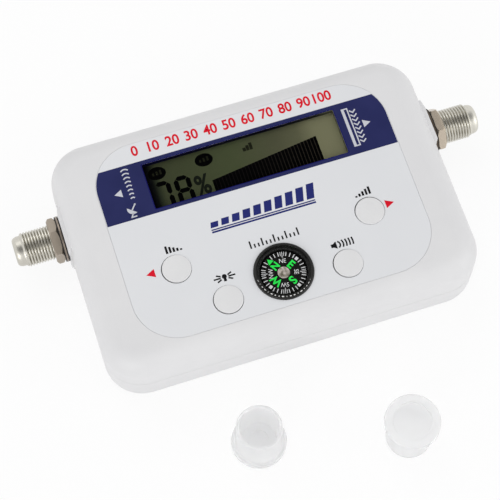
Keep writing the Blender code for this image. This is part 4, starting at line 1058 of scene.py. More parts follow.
def stroke_outline(points, width):
    """Outline of an open line with a width, its corners mitred."""
    half = width / 2
    left = []
    right = []
    for index, point in enumerate(points):
        before = Vector(points[max(index - 1, 0)])
        after = Vector(points[min(index + 1, len(points) - 1)])
        here = Vector(point)
        first = (here - before).normalized() if (here - before).length > 0 else (after - here).normalized()
        second = (after - here).normalized() if (after - here).length > 0 else first
        across = Vector((-(first.y + second.y), first.x + second.x)).normalized()
        reach = half / max(across.dot(Vector((-first.y, first.x))), MITRE_LIMIT)
        left.append(tuple(here + across * reach))
        right.append(tuple(here - across * reach))
    return right + left[::-1]


def moved(points, centre, angle=0.0, scale=1.0):
    """Points turned by an angle, scaled and moved to a centre."""
    result = []
    for x, y in points:
        turned_x = scale * (x * math.cos(angle) - y * math.sin(angle))
        turned_y = scale * (x * math.sin(angle) + y * math.cos(angle))
        result.append((centre[0] + turned_x, centre[1] + turned_y))
    return result


def rectangle(low_x, high_x, low_y, high_y):
    return [(low_x, low_y), (high_x, low_y), (high_x, high_y), (low_x, high_y)]


def triangle(width, height):
    """Triangle that points up, about its middle."""
    return [(-width / 2, -height / 2), (width / 2, -height / 2), (0.0, height / 2)]


class Ink:
    """Outlines and letters gathered in one mesh, as a thin layer on a surface."""

    def __init__(self, surface_height, thickness=INK):
        self.bm = bmesh.new()
        self.bottom = surface_height - INK / 2
        self.top = surface_height + thickness

    def fill(self, outline):
        add_prism(self.bm, outline, self.bottom, self.top)

    def stroke(self, points, width):
        self.fill(stroke_outline(points, width))

    def letters(self, text, centre, height, width_share, boldness, angle=0.0):
        """Letters of a height, narrowed by a share, thickened and turned about their middle."""
        curve = bpy.data.curves.new("letters", "FONT")
        curve.body = text
        curve.resolution_u = LETTER_STEPS
        curve.offset = boldness
        curve.extrude = LETTER_EXTRUSION
        writer = bpy.data.objects.new("letters", curve)
        bpy.context.scene.collection.objects.link(writer)
        graph = bpy.context.evaluated_depsgraph_get()
        mesh = bpy.data.meshes.new_from_object(writer.evaluated_get(graph))
        bpy.data.objects.remove(writer, do_unlink=True)
        across = [vertex.co.x for vertex in mesh.vertices]
        upward = [vertex.co.y for vertex in mesh.vertices]
        middle_x = middle(min(across), max(across))
        middle_y = middle(min(upward), max(upward))
        scale = height / (max(upward) - min(upward))
        for vertex in mesh.vertices:
            x = (vertex.co.x - middle_x) * scale * width_share
            y = (vertex.co.y - middle_y) * scale
            z = self.top if vertex.co.z > 0 else self.bottom
            vertex.co = (*moved([(x, y)], centre, angle)[0], z)
        self.bm.from_mesh(mesh)
        bpy.data.meshes.remove(mesh)

    def piece(self, name, material, body="case", slot="label_print"):
        bmesh.ops.remove_doubles(self.bm, verts=self.bm.verts[:], dist=WELD)
        piece = build(name, self.bm, material)
        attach(piece, body)
        return piece


def band_outline():
    """Navy band across the label, its ends following the label's round corners."""
    half_length = LABEL_LENGTH / 2
    corner_y = LABEL_DEPTH / 2 - LABEL_CORNER_RADIUS
    right = [(half_length, BAND_LOW_Y)]
    last = math.asin((BAND_HIGH_Y - corner_y) / LABEL_CORNER_RADIUS)
    for step in range(CORNER_STEPS + 1):
        angle = last * step / CORNER_STEPS
        x = half_length - LABEL_CORNER_RADIUS + LABEL_CORNER_RADIUS * math.cos(angle)
        right.append((x, corner_y + LABEL_CORNER_RADIUS * math.sin(angle)))
    return right + [(-x, y) for x, y in right[::-1]]


def make_band(finish):
    """Band with the display's opening in it, and a thin line round that opening."""
    for name, height, outline, look in [
        ("print_band", LABEL_HIGH.z, band_outline(), "band"),
        ("print_window_line", LABEL_HIGH.z + INK, window_outline(WINDOW_LINE), "deep_blue"),
    ]:
        layer = Ink(height)
        layer.fill(outline)
        piece = layer.piece(name, finish[look])
        combine(piece, [cut([window_outline()], LABEL_LOW.z, CASE_HEIGHT + OVERRUN)])
        if name == "print_band":
            shade(piece)


def make_scale_numbers(finish):
    """Row of plain percent numbers above the display, and an arrow beside each attenuator button."""
    layer = Ink(LABEL_HIGH.z)
    for index in range(SCALE_COUNT):
        place = (SCALE_START_X + index * SCALE_PITCH, SCALE_Y)
        layer.letters(str(10 * index), place, SCALE_HEIGHT, SCALE_WIDTH_SHARE, SCALE_BOLDNESS)
    arrow = triangle(ATTENUATOR_ARROW_WIDTH, ATTENUATOR_ARROW_HEIGHT)
    for sign, place in zip([1, -1], ATTENUATOR_ARROWS):
        layer.fill(moved(arrow, place, math.radians(90) * sign))
    layer.piece("print_red", finish["red"])


def make_level_bars(finish):
    """Slanted rising bars on a double line under the display."""
    layer = Ink(LABEL_HIGH.z)
    for index in range(LEVEL_COUNT):
        share = index / (LEVEL_COUNT - 1)
        x = LEVEL_START_X + share * (LEVEL_END_X - LEVEL_START_X - LEVEL_WIDTH)
        height = LEVEL_LOW + share * (LEVEL_HIGH - LEVEL_LOW)
        lean = height * LEVEL_SLANT
        layer.fill([
            (x, LEVEL_BASE_Y),
            (x + LEVEL_WIDTH, LEVEL_BASE_Y),
            (x + LEVEL_WIDTH + lean, LEVEL_BASE_Y + height),
            (x + lean, LEVEL_BASE_Y + height),
        ])
    for low_y, high_y in UNDERLINES:
        layer.fill(rectangle(LEVEL_START_X, LEVEL_END_X, low_y, high_y))
    layer.piece("print_blue", finish["blue"])


def add_stair(layer, centre, falling):
    """Row of bars that fall or rise."""
    pitch = STAIR_WIDTH / STAIR_BARS
    low_y = centre[1] - MARK_HEIGHT / 2
    for index in range(STAIR_BARS):
        share = (STAIR_BARS - index) / STAIR_BARS if falling else (index + 1) / STAIR_BARS
        x = centre[0] - STAIR_WIDTH / 2 + index * pitch
        layer.fill(rectangle(x, x + pitch * STAIR_BAR_SHARE, low_y, low_y + MARK_HEIGHT * share))


def add_lamp(layer):
    """Bulb on its foot, with rays to both sides."""
    x, y = LAMP_PLACE
    bulb = (x, y + MARK_HEIGHT * LAMP_BULB_RISE)
    layer.fill(circle(MARK_HEIGHT * LAMP_BULB_RADIUS, bulb, SMALL_ROUND_STEPS))
    half = MARK_HEIGHT * LAMP_FOOT_HALF
    layer.fill(moved(rectangle(-half, half, -half, half), (x, y - MARK_HEIGHT * LAMP_FOOT_DROP)))
    for degrees, reach in LAMP_RAYS:
        angle = math.radians(degrees)
        ends = [MARK_HEIGHT * LAMP_RAY_START, MARK_HEIGHT * reach]
        layer.stroke([(x + end * math.cos(angle), y + end * math.sin(angle)) for end in ends], MARK_STROKE)


def add_speaker(layer):
    """Loudspeaker with its waves."""
    half = MARK_HEIGHT / 2
    layer.fill(moved([(x * half, y * half) for x, y in SPEAKER_SHAPE], SPEAKER_PLACE))
    mouth = (SPEAKER_PLACE[0] - SPEAKER_MOUTH * half, SPEAKER_PLACE[1])
    for radius in SPEAKER_WAVES:
        spread = math.degrees(math.asin(min(SPEAKER_WAVE_RISE / radius, SPEAKER_WAVE_LIMIT)))
        layer.stroke(arc(mouth, radius * half, -spread, spread), MARK_STROKE)


def add_bearing_ticks(layer):
    """Ruler of ticks over the compass, every third one long."""
    low_y = BEARING_PLACE[1] - MARK_HEIGHT / 2
    for index in range(BEARING_TICKS):
        x = BEARING_PLACE[0] + BEARING_WIDTH * (index / (BEARING_TICKS - 1) - 0.5)
        high = MARK_HEIGHT * (1.0 if index % 3 == 0 else 0.5)
        layer.fill(rectangle(x - MARK_STROKE / 2, x + MARK_STROKE / 2, low_y, low_y + high))


def make_pictograms(finish):
    """Black marks over the buttons and the compass."""
    layer = Ink(LABEL_HIGH.z)
    for place, falling in zip(STAIR_PLACES, (True, False)):
        add_stair(layer, place, falling)
    add_lamp(layer)
    add_speaker(layer)
    add_bearing_ticks(layer)
    layer.piece("print_black", finish["black"])


def column(place):
    """Middles of a row of marks up a column, given as (x, lowest y, highest y)."""
    x, low_y, high_y = place
    return [(x, low_y + (high_y - low_y) * (index + 0.5) / MARK_COUNT) for index in range(MARK_COUNT)]


def add_dish(layer):
    """Dish with its arm, on a stand."""
    tilt = math.radians(DISH_TILT_DEGREES)
    bowl = arc((0.0, 0.0), 1.0, *DISH_BOWL_DEGREES, DISH_STEPS)
    layer.fill(moved(bowl, DISH_PLACE, tilt, DISH_RADIUS))
    layer.stroke(moved(DISH_ARM, DISH_PLACE, tilt, DISH_RADIUS), BAND_STROKE)
    layer.fill(moved(circle(DISH_TIP_RADIUS, DISH_TIP_PLACE, DISH_STEPS), DISH_PLACE, tilt, DISH_RADIUS))
    layer.stroke(moved(DISH_STAND, DISH_PLACE, 0.0, DISH_RADIUS), BAND_STROKE)


def add_box(layer):
    """Open box with one thick side."""
    low_x, high_x, low_y, high_y = BOX_MARK
    layer.fill(rectangle(low_x, low_x + BOX_BAR, low_y, high_y))
    layer.fill(rectangle(high_x - BAND_STROKE, high_x, low_y, high_y))
    layer.fill(rectangle(low_x + BOX_BAR, high_x - BAND_STROKE, low_y, low_y + BAND_STROKE))
    layer.fill(rectangle(low_x + BOX_BAR, high_x - BAND_STROKE, high_y - BAND_STROKE, high_y))


def make_band_marks(finish):
    """White marks on the band: arrows, a dish with waves, and a box with chevrons."""
    layer = Ink(LABEL_HIGH.z + INK)
    for sign, place in zip([1, -1], BAND_ARROWS):
        layer.fill(moved(triangle(ARROW_WIDTH, ARROW_HEIGHT), place, math.radians(90) * sign))
    least, growth = WAVE_SHARES
    for index, (x, y) in enumerate(column(WAVE_COLUMN)):
        size = BAND_MARK_WIDTH / 2 * (least + growth * index / (MARK_COUNT - 1))
        layer.stroke(arc((x, y - size), size * WAVE_BEND, *WAVE_DEGREES), BAND_STROKE)
    add_dish(layer)
    add_box(layer)
    size = CHEVRON_WIDTH / 2
    for x, y in column(CHEVRON_COLUMN):
        layer.stroke([(x + size * across, y + size * up) for across, up in CHEVRON_SHAPE], BAND_STROKE)
    layer.piece("print_white", finish["white"])


def segment_outline(start, end, width):
    """Bar of a digit with pointed ends."""
    along = (end - start).normalized()
    across = Vector((-along.y, along.x)) * (width / 2)
    tip = along * (width / 2)
    points = [start, start + tip - across, end - tip - across, end, end - tip + across, start + tip + across]
    return [tuple(point) for point in points]


DIGIT_BARS = {
    "top": ((0.0, 1.0), (1.0, 1.0)),
    "middle": ((0.0, 0.5), (1.0, 0.5)),
    "bottom": ((0.0, 0.0), (1.0, 0.0)),
    "upper_left": ((0.0, 1.0), (0.0, 0.5)),
    "lower_left": ((0.0, 0.5), (0.0, 0.0)),
    "upper_right": ((1.0, 1.0), (1.0, 0.5)),
    "lower_right": ((1.0, 0.5), (1.0, 0.0)),
}


def add_digit(layer, bars, low):
    for name in bars:
        corners = []
        for share_x, share_y in DIGIT_BARS[name]:
            x = low[0] + DIGIT_STROKE / 2 + share_x * (DIGIT_SIZE[0] - DIGIT_STROKE)
            y = low[1] + DIGIT_STROKE / 2 + share_y * (DIGIT_SIZE[1] - DIGIT_STROKE)
            corners.append(Vector((x, y)))
        gap = (corners[1] - corners[0]).normalized() * (DIGIT_STROKE * DIGIT_GAP_SHARE)
        layer.fill(segment_outline(corners[0] + gap, corners[1] - gap, DIGIT_STROKE))


def add_graph(layer):
    """Row of thin bars that rise to the right."""
    for index in range(GRAPH_COUNT):
        x = GRAPH_START_X + index * GRAPH_PITCH
        high_y = GRAPH_LOW_Y + index / (GRAPH_COUNT - 1) * (GRAPH_HIGH_Y - GRAPH_LOW_Y)
        layer.fill(rectangle(x, x + GRAPH_WIDTH, GRAPH_BASE_Y, high_y))


def make_display_segments(finish):
    """Signal display: two digits, a percent sign, a rising bar graph and small flags."""
    front = CELL_HIGH.z + POLARISER_RISE
    sheet = prisms([window_outline(-MASK_WALL)], CELL_HIGH.z - INK, front)
    film = build("display_film", sheet, finish["cell"])
    finish_piece(film, "case", "display_glass")
    layer = Ink(front)
    add_digit(layer, ["top", "upper_right", "lower_right"], DIGIT_PLACES[0])
    add_digit(layer, DIGIT_BARS, DIGIT_PLACES[1])
    end_x = GRAPH_START_X + (GRAPH_COUNT - 1) * GRAPH_PITCH + GRAPH_WIDTH
    # Dark patch under the bars: painted shadow that the bars cast on the cell between them.
    bar_shadow = Ink(front)
    bar_shadow.fill([
        (GRAPH_START_X, GRAPH_BASE_Y),
        (end_x, GRAPH_BASE_Y),
        (end_x, GRAPH_HIGH_Y),
        (GRAPH_START_X, GRAPH_LOW_Y),
    ])
    graph_shade = bar_shadow.piece("display_graph_shade", finish["gap"], slot="display_glass")
    layer.top += INK
    add_graph(layer)
    for x, y in FLAG_PLACES:
        oval = circle(1.0, steps=SMALL_ROUND_STEPS)
        layer.fill([(x + FLAG_RADII[0] * across, y + FLAG_RADII[1] * up) for across, up in oval])
    segments = layer.piece("display_segments", finish["segment"], slot="display_glass")
    sign = Ink(front)
    sign.letters("%", PERCENT_PLACE, PERCENT_HEIGHT, PERCENT_WIDTH_SHARE, PERCENT_BOLDNESS)
    percent = sign.piece("display_percent", finish["percent"], slot="display_glass")
    for piece in (segments, graph_shade, percent):
        opening = prisms([window_outline(-MASK_WALL - INK)], CELL_HIGH.z - OVERRUN, PANE_LOW.z)
        combine(piece, [("INTERSECT", opening, None)])
    make_display_flags(finish, front)


def make_display_flags(finish, front):
    """Three bars in each oval, and three faint bars beside them."""
    marks = Ink(front + 2 * INK)
    for x, y in FLAG_PLACES:
        for index, top in FLAG_BAR_TOPS:
            centre = x + index * FLAG_RADII[0] * FLAG_BAR_PITCH
            half = FLAG_RADII[0] * FLAG_BAR_HALF
            foot = y - FLAG_RADII[1] * FLAG_BAR_FOOT
            marks.fill(rectangle(centre - half, centre + half, foot, y + FLAG_RADII[1] * top))
    marks.piece("display_flag_marks", finish["faint"], slot="display_glass")
    dim = Ink(front)
    low_y = DIM_MARK[1] - DIM_MARK_SIZE[1] / 2
    for index, top in DIM_BAR_TOPS:
        x = DIM_MARK[0] + index * DIM_MARK_SIZE[0] * DIM_BAR_PITCH
        dim.fill(rectangle(x - DIM_BAR_HALF, x + DIM_BAR_HALF, low_y, low_y + DIM_MARK_SIZE[1] * top))
    dim.piece("display_dim_mark", finish["dim"], slot="display_glass")


def make_liner(name, material, bottom, top, border_bottom, border_top):
    """Walls of the display opening with a border on the pane."""
    liner = build(name, prisms([window_outline(-INK)], bottom, top), material)
    combine(liner, [
        join([window_outline(BORDER_WIDTH)], border_bottom, border_top),
        cut([window_outline(-MASK_WALL)], bottom - OVERRUN, top + OVERRUN),
    ])
    finish_piece(liner, "case", "black_plastic")


def make_display_mask(finish):
    """Dark liner below and above the pane, painting the shade in the display opening."""
    mask_and_shade = finish["mask_and_shade"]
    low = PANE_LOW.z - INK
    high = PANE_HIGH.z + INK
    cell = CELL_HIGH.z - CELL_PLATE_RISE + INK
    make_liner("display_mask_and_shade_lower", mask_and_shade, cell, low, PANE_LOW.z - BORDER_THICKNESS, low)
    make_liner("display_mask_and_shade_upper", mask_and_shade, high, LABEL_HIGH.z - INK, high, PANE_HIGH.z + BORDER_THICKNESS)


def make_buttons(finish):
    """Four crowned keys with the flange that holds them in."""
    flange_top = CASE_HEIGHT - TOP_WALL - BUTTON_GAP
    crown_radius = BUTTON_RADIUS - BUTTON_EDGE
    for name in BUTTONS:
        low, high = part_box(name + "_button")
        rim = high.z - BUTTON_CROWN
        flange_radius = (high.x - low.x) / 2
        profile = [
            (0.0, low.z),
            (BUTTON_STEM_RADIUS, low.z),
            (BUTTON_STEM_RADIUS, flange_top - BUTTON_FLANGE),
            (flange_radius, flange_top - BUTTON_FLANGE),
            (flange_radius, flange_top),
            (BUTTON_RADIUS, flange_top),
        ]
        profile += arc((crown_radius, rim - BUTTON_EDGE), BUTTON_EDGE, 0, 90)[:-1]
        profile += crown(crown_radius, rim, high.z)
        node = name + "_button"
        place = standing(node)
        make_turned(name + "_cap", profile, finish["button"], place, name + "_key", "button_plastic", node)


def compass_matrix():
    return Matrix.Translation((*COMPASS_PLACE, 0.0))


def make_cup(finish):
    """Black cup of the compass with its stepped rim."""
    top = CUP_HIGH.z
    rim_inner = CUP_RADIUS - CUP_RIM_WIDTH
    step = top - CUP_STEP_DEPTH
    inner = CUP_RADIUS - CUP_WALL
    floor = CUP_LOW.z + CUP_FLOOR
    profile = [(0.0, CUP_LOW.z), (CUP_RADIUS, CUP_LOW.z)]
    profile += arc((CUP_RADIUS - CUP_RIM_ROUND, top - CUP_RIM_ROUND), CUP_RIM_ROUND, 0, 90)
    profile += arc((rim_inner + CUP_LIP_ROUND, top - CUP_LIP_ROUND), CUP_LIP_ROUND, 90, 180, 4)
    profile += [(rim_inner, step), (inner, step), (inner, floor), (0.0, floor)]
    place = compass_matrix()
    make_turned("compass_housing", profile, finish["cup"], place, "case", "compass_black", "compass_cup")


def make_dome(finish):
    """Clear dome over the card."""
    radius = (DOME_HIGH.x - DOME_LOW.x) / 2
    profile = crown(radius, CUP_HIGH.z, DOME_HIGH.z)[::-1] + [(radius, DOME_LOW.z)]
    profile += crown(radius - DOME_WALL, DOME_LOW.z, DOME_HIGH.z - DOME_WALL)
    place = compass_matrix()
    make_turned("compass_crystal", profile, finish["dome"], place, "case", "clear_plastic", "compass_dome")


def make_card(finish):
    """Turning card with its metal hub."""
    radius = (CARD_HIGH.x - CARD_LOW.x) / 2
    top = CARD_HIGH.z - HUB_RISE
    underside = top - CARD_THICKNESS
    bevel = CARD_THICKNESS / 4
    profile = [
        (0.0, CARD_HIGH.z - JEWEL_ROOF),
        (JEWEL_TIP_RADIUS, CARD_HIGH.z - JEWEL_ROOF),
        (JEWEL_RADIUS, CARD_LOW.z),
        (HUB_RADIUS, CARD_LOW.z),
        (HUB_RADIUS, underside),
        (radius - bevel, underside),
        (radius, underside + bevel),
        (radius, top - bevel),
        (radius - bevel, top),
        (0.0, top),
    ]
    place = compass_matrix()
    body = "compass_rose"
    make_turned("compass_rose_card", profile, finish["card"], place, body, "compass_black", "compass_card")
    hub_profile = [(0.0, top - INK), (HUB_RADIUS, top - INK), (HUB_RADIUS, top + HUB_RISE / 3)]
    hub_profile += arc((HUB_RADIUS - HUB_RISE / 2, top + HUB_RISE / 2), HUB_RISE / 2, 0, 90, 5)
    hub_profile += [(HUB_RADIUS * across, top + HUB_RISE * up) for across, up in HUB_PIT]
    make_turned("compass_hub", hub_profile, finish["hub"], place, body, "brass")


def around(angle_degrees, radius):
    """Place on the compass card, its angle clockwise from the display side."""
    angle = math.radians(90 - angle_degrees)
    return (COMPASS_PLACE[0] + radius * math.cos(angle), COMPASS_PLACE[1] + radius * math.sin(angle))


def facing(outline, angle_degrees, radius):
    """Outline moved onto the card and turned to point outward."""
    return moved(outline, around(angle_degrees, radius), -math.radians(angle_degrees))


def tick(angle_degrees, half_width, inner):
    half = (TICK_OUTER - inner) / 2
    return facing(rectangle(-half_width, half_width, -half, half), angle_degrees, middle(inner, TICK_OUTER))


def make_compass_print(finish):
    """Letters, arrow, degree marks and blocks on the card."""
    north = COMPASS_NORTH_DEGREES
    height = CARD_HIGH.z - HUB_RISE
    green = Ink(height)
    for index, (letter, place, size) in enumerate(LETTERS):
        angle = north + 90 * index
        turn = -math.radians(angle)
        green.letters(letter, around(angle, place), size, LETTER_WIDTH_SHARE, LETTER_BOLDNESS, turn)
    green.fill(facing(triangle(*NORTH_ARROW), north, NORTH_ARROW_PLACE))
    green.piece("compass_print_green", finish["green"], "compass_rose", "compass_black")
    white = Ink(height)
    for index, letters in enumerate(("NE", "SE", "SW", "NW")):
        angle = north + 45 + 90 * index
        turn = -math.radians(angle)
        place = around(angle, SMALL_LETTER_PLACE)
        white.letters(letters, place, SMALL_LETTER_HEIGHT, SMALL_LETTER_WIDTH_SHARE, 0.0, turn)
        for offset in (-FINE_TICK_DEGREES, 0.0, FINE_TICK_DEGREES):
            white.fill(tick(angle + offset, FINE_TICK_HALF, TICK_INNER if offset else LONG_TICK_INNER))
    half_x, half_y = BLOCK_HALVES
    for index in range(1, 4):
        white.fill(facing(rectangle(-half_x, half_x, -half_y, half_y), north + 90 * index, BLOCK_PLACE))
    for index in range(TICK_COUNT):
        if index % 4:
            white.fill(tick(north + 360 / TICK_COUNT * index, TICK_HALF, TICK_INNER))
    white.piece("compass_print_white", finish["card_white"], "compass_rose", "compass_black")


def make_rim_glints(finish):
    """Painted glint: a row of fine light dashes along the front of the compass rim, widest in the middle,
    painted where the rim catches a broken highlight.
    """
    marks = Ink(CUP_HIGH.z)
    mean_length, length_swing = GLINT_LENGTH_SHARES
    least_width, width_growth = GLINT_WIDTH_SHARES
    for index in range(GLINT_COUNT):
        share = index / (GLINT_COUNT - 1) - 0.5
        angle = GLINT_MIDDLE_DEGREES + GLINT_SPREAD_DEGREES * share
        strength = 1 - (2 * share) ** 2
        reach = GLINT_DEGREES * (mean_length + length_swing * math.cos(GLINT_LENGTH_STEP * index))
        width = GLINT_WIDTH * (least_width + width_growth * strength)
        inner, outer = [
            arc(COMPASS_PLACE, radius, angle - reach / 2, angle + reach / 2, 3)
            for radius in (GLINT_RADIUS - width / 2, GLINT_RADIUS + width / 2)
        ]
        marks.fill(outer + inner[::-1])
    marks.piece("compass_rim_glints", finish["glint"], "case", "compass_black")


def thread_depth(radius, height, angle, start, end):
    """Depth of a right-handed thread on the points of its full radius, fading out at its ends."""
    if radius != THREAD_RADIUS:
        return 0.0
    phase = height / THREAD_PITCH - angle / (2 * math.pi)
    ridge = abs(2 * (phase - math.floor(phase)) - 1)
    fade = min((height - start) / THREAD_FADE, (end - height) / THREAD_FADE, 1.0)
    return THREAD_DEPTH * (1 - min(ridge * THREAD_CREST_SHARE, 1.0)) * max(fade, 0.0)


def reaches(name):
    """How far out from the middle of the case a port's piece starts and ends, and its radius."""
    low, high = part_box(name)
    start, end = sorted([abs(low.x), abs(high.x)])
    return start, end, (high.y - low.y) / 2


def make_barrel(finish, side_name):
    """Threaded barrel with its rounded nose, its bore and the flange inside the wall."""
    inner, outer, _ = reaches(side_name + "_barrel")
    thread_start = reaches(side_name + "_nut")[0]
    thread_end = outer - NOSE_LENGTH
    flange_face = CASE_LENGTH / 2 - SIDE_WALL - BUTTON_GAP
    tail = flange_face - PORT_FLANGE
    profile = [
        (PORT_TAIL_BORE, inner),
        (PORT_TAIL_RADIUS, inner),
        (PORT_TAIL_RADIUS, tail),
        (PORT_FLANGE_RADIUS, tail),
        (PORT_FLANGE_RADIUS, flange_face),
        (THREAD_RADIUS, flange_face),
    ]
    length = thread_end - THREAD_CHAMFER - thread_start
    count = int(length / THREAD_PITCH * THREAD_STEPS_PER_TURN)
    profile += [(THREAD_RADIUS, thread_start + length * step / count) for step in range(count + 1)]
    profile += [(THREAD_RADIUS - THREAD_CHAMFER, thread_end), (NOSE_RADIUS, thread_end)]
    for x, y in arc((0.0, 0.0), 1.0, 0, 90):
        radius = NOSE_RADIUS - NOSE_ROUNDING + NOSE_ROUNDING * x
        profile.append((radius, outer - NOSE_TAPER + NOSE_TAPER * y))
    profile += [
        (PORT_BORE_RADIUS + BORE_EDGE, outer),
        (PORT_BORE_RADIUS, outer - BORE_EDGE),
        (PORT_BORE_RADIUS, flange_face),
        (PORT_TAIL_BORE, flange_face),
    ]

    def depth(radius, height, angle):
        return thread_depth(radius, height, angle, thread_start, thread_end)

    body = turned(profile, depth=depth)
    barrel = build(side_name + "_port_barrel", body, finish["nickel"], port_matrix(SIDES[side_name]))
    finish_piece(barrel, "case", "nickel_plate", side_name + "_barrel")


def make_nut(finish, side_name):
    """Hex nut with chamfered corners and a chamfered hole."""
    start, end, _ = reaches(side_name + "_nut")
    face = NUT_FLATS / 2
    corner = face / math.cos(math.radians(30))
    outline = circle(corner, steps=6)
    turn = Matrix.Rotation(math.radians(NUT_TURNS[side_name]), 4, "Z")
    nut = build(side_name + "_port_nut", prisms([outline], start, end), finish[side_name + "_nut"], turn)
    edge = [(0.0, -OVERRUN), (face - OVERRUN, -OVERRUN), (corner + OVERRUN, NUT_CHAMFER + OVERRUN)]
    hole = THREAD_RADIUS + NUT_HOLE_GAP
    mouth = [(0.0, -OVERRUN), (hole + OVERRUN + BORE_EDGE, -OVERRUN), (hole, BORE_EDGE)]
    combine(nut, [
        ("INTERSECT", turned(mirrored(start, end, edge)), None),
        ("DIFFERENCE", turned(mirrored(start, end, mouth)), None),
    ])
    nut.data.transform(port_matrix(SIDES[side_name]))
    finish_piece(nut, "case", "nickel_plate", side_name + "_nut")


def make_washer(finish, side_name):
    """Washer under the nut, in a nickel darkened as painted shade, and a dark ring of painted shadow on each
    face of it.
    """
    start, end, radius = reaches(side_name + "_washer")
    hole = THREAD_RADIUS + NUT_HOLE_GAP
    place = port_matrix(SIDES[side_name])
    profile = mirrored(start, end, [(hole, 0.0), (radius - WASHER_EDGE, 0.0), (radius, WASHER_EDGE)])
    name = side_name + "_washer"
    make_turned(side_name + "_port_washer", profile, finish[name], place, "case", "nickel_plate", name)
    # Dark rings on both faces of the washer: painted shadow where it meets the case and the nut.
    for name, ring_start, ring_end in [
        ("_port_shadow_ring_inner", start - BUTTON_GAP, start),
        ("_port_shadow_ring_outer", end, reaches(side_name + "_nut")[0]),
    ]:
        outline = rectangle(hole, SHADOW_RING_RADIUS, ring_start + INK, ring_end - INK)
        make_turned(side_name + name, outline, finish["shadow_ring"], place, "case", "contact_rubber")


def make_insulator(finish, side_name):
    """White insulator that holds the contact in the mouth of the barrel."""
    start, end, radius = reaches(side_name + "_insulator")
    profile = [
        (INSULATOR_HOLE, start),
        (radius, start),
        (radius, end - BORE_EDGE),
        (radius - BORE_EDGE, end),
        (INSULATOR_HOLE + BORE_EDGE, end),
        (INSULATOR_HOLE, end - BORE_EDGE),
    ]
    place = port_matrix(SIDES[side_name])
    slot = "white_plastic"
    node = side_name + "_insulator"
    make_turned(side_name + "_port_insulator", profile, finish[slot], place, "case", slot, node)


def make_ports(finish):
    for side_name in SIDES:
        make_barrel(finish, side_name)
        make_nut(finish, side_name)
        make_washer(finish, side_name)
        make_insulator(finish, side_name)


def cap_profile():
    """Dust cap with its flange at the foot and its mouth at the top."""
    bore_root = THREAD_RADIUS + CAP_GRIP
    ring_inner, ring_outer, ring_height = CAP_RING
    edge = CAP_EDGE
    flange_centre = CAP_FLANGE_RADIUS - edge
    profile = [
        (0.0, CAP_DISH_DEPTH),
        (CAP_DISH_RADIUS - edge, CAP_DISH_DEPTH),
        (CAP_DISH_RADIUS, CAP_DISH_DEPTH - edge / 2),
        (CAP_DISH_RADIUS, 0.0),
    ]
    profile += arc((flange_centre, edge), edge, -90, 0, 4)
    profile += arc((flange_centre, CAP_FLANGE - edge), edge, 0, 90, 4)
    profile += [(CAP_ROOT_RADIUS + edge, CAP_FLANGE), (CAP_ROOT_RADIUS, CAP_FLANGE + edge)]
    profile += arc((CAP_MOUTH_RADIUS - edge, CAP_HEIGHT - edge), edge, 0, 90, 4)
    profile += [
        (bore_root + CAP_MOUTH_EASE, CAP_HEIGHT - edge / 2),
        (bore_root, CAP_END_WALL + edge),
        (bore_root - edge, CAP_END_WALL),
        (ring_outer, CAP_END_WALL),
        (ring_outer, CAP_END_WALL + ring_height),
        (ring_inner, CAP_END_WALL + ring_height),
        (ring_inner, CAP_END_WALL),
        (0.0, CAP_END_WALL),
    ]
    return profile


def make_caps(finish):
    """Loose dust caps: the left one stands with its mouth up, the right one on its mouth."""
    upright = cap_profile()
    upturned = [(radius, CAP_HEIGHT - height) for radius, height in upright]
    for side_name, profile in (("left", upright), ("right", upturned)):
        name = side_name + "_dust_cap"
        place = standing(name)
        body = side_name + "_cap"
        make_turned(name + "_moulding", profile, finish["cap"], place, body, "cap_polythene", name)


def make_case_screws(finish):
    """Screws with a rounded head and a cross recess, driven from below."""
    for name in CASE_SCREWS:
        low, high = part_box(name)
        head_radius = (high.x - low.x) / 2
        rounding = CASE_SCREW_HEAD * SCREW_ROUND_SHARE
        seat = low.z + CASE_SCREW_HEAD
        profile = [(0.0, low.z)]
        profile += arc((head_radius - rounding, low.z + rounding), rounding, -90, 0, 6)
        profile += [
            (head_radius, seat),
            (CASE_SCREW_RADIUS, seat),
            (CASE_SCREW_RADIUS, high.z - CASE_SCREW_RADIUS),
            (CASE_SCREW_RADIUS / 4, high.z),
            (0.0, high.z),
        ]
        place = standing(name)
        screw = build(name + "_driven", turned(profile, SMALL_ROUND_STEPS), finish["zinc"], place)
        half_width, half_length = [head_radius * share for share in SCREW_CROSS_SHARES]
        arm = [(half_width, -half_width), (half_length, -half_width), (half_length, half_width)]
        cross = []
        for quarter in range(4):
            cross += moved(arm, (0.0, 0.0), math.radians(90) * quarter)
        recess = prisms([cross], low.z - OVERRUN, low.z + CASE_SCREW_HEAD * SCREW_CROSS_DEPTH_SHARE)
        combine(screw, [("DIFFERENCE", recess, place)])
        finish_piece(screw, "case", "zinc_steel", name)


def ray_share(tree, *kinds):
    """Largest of several Light Path outputs."""
    outputs = tree.nodes.new("ShaderNodeLightPath").outputs
    share = outputs[kinds[0]]
    for kind in kinds[1:]:
        share = tree.calculate("MAXIMUM", share, outputs[kind])
    return share


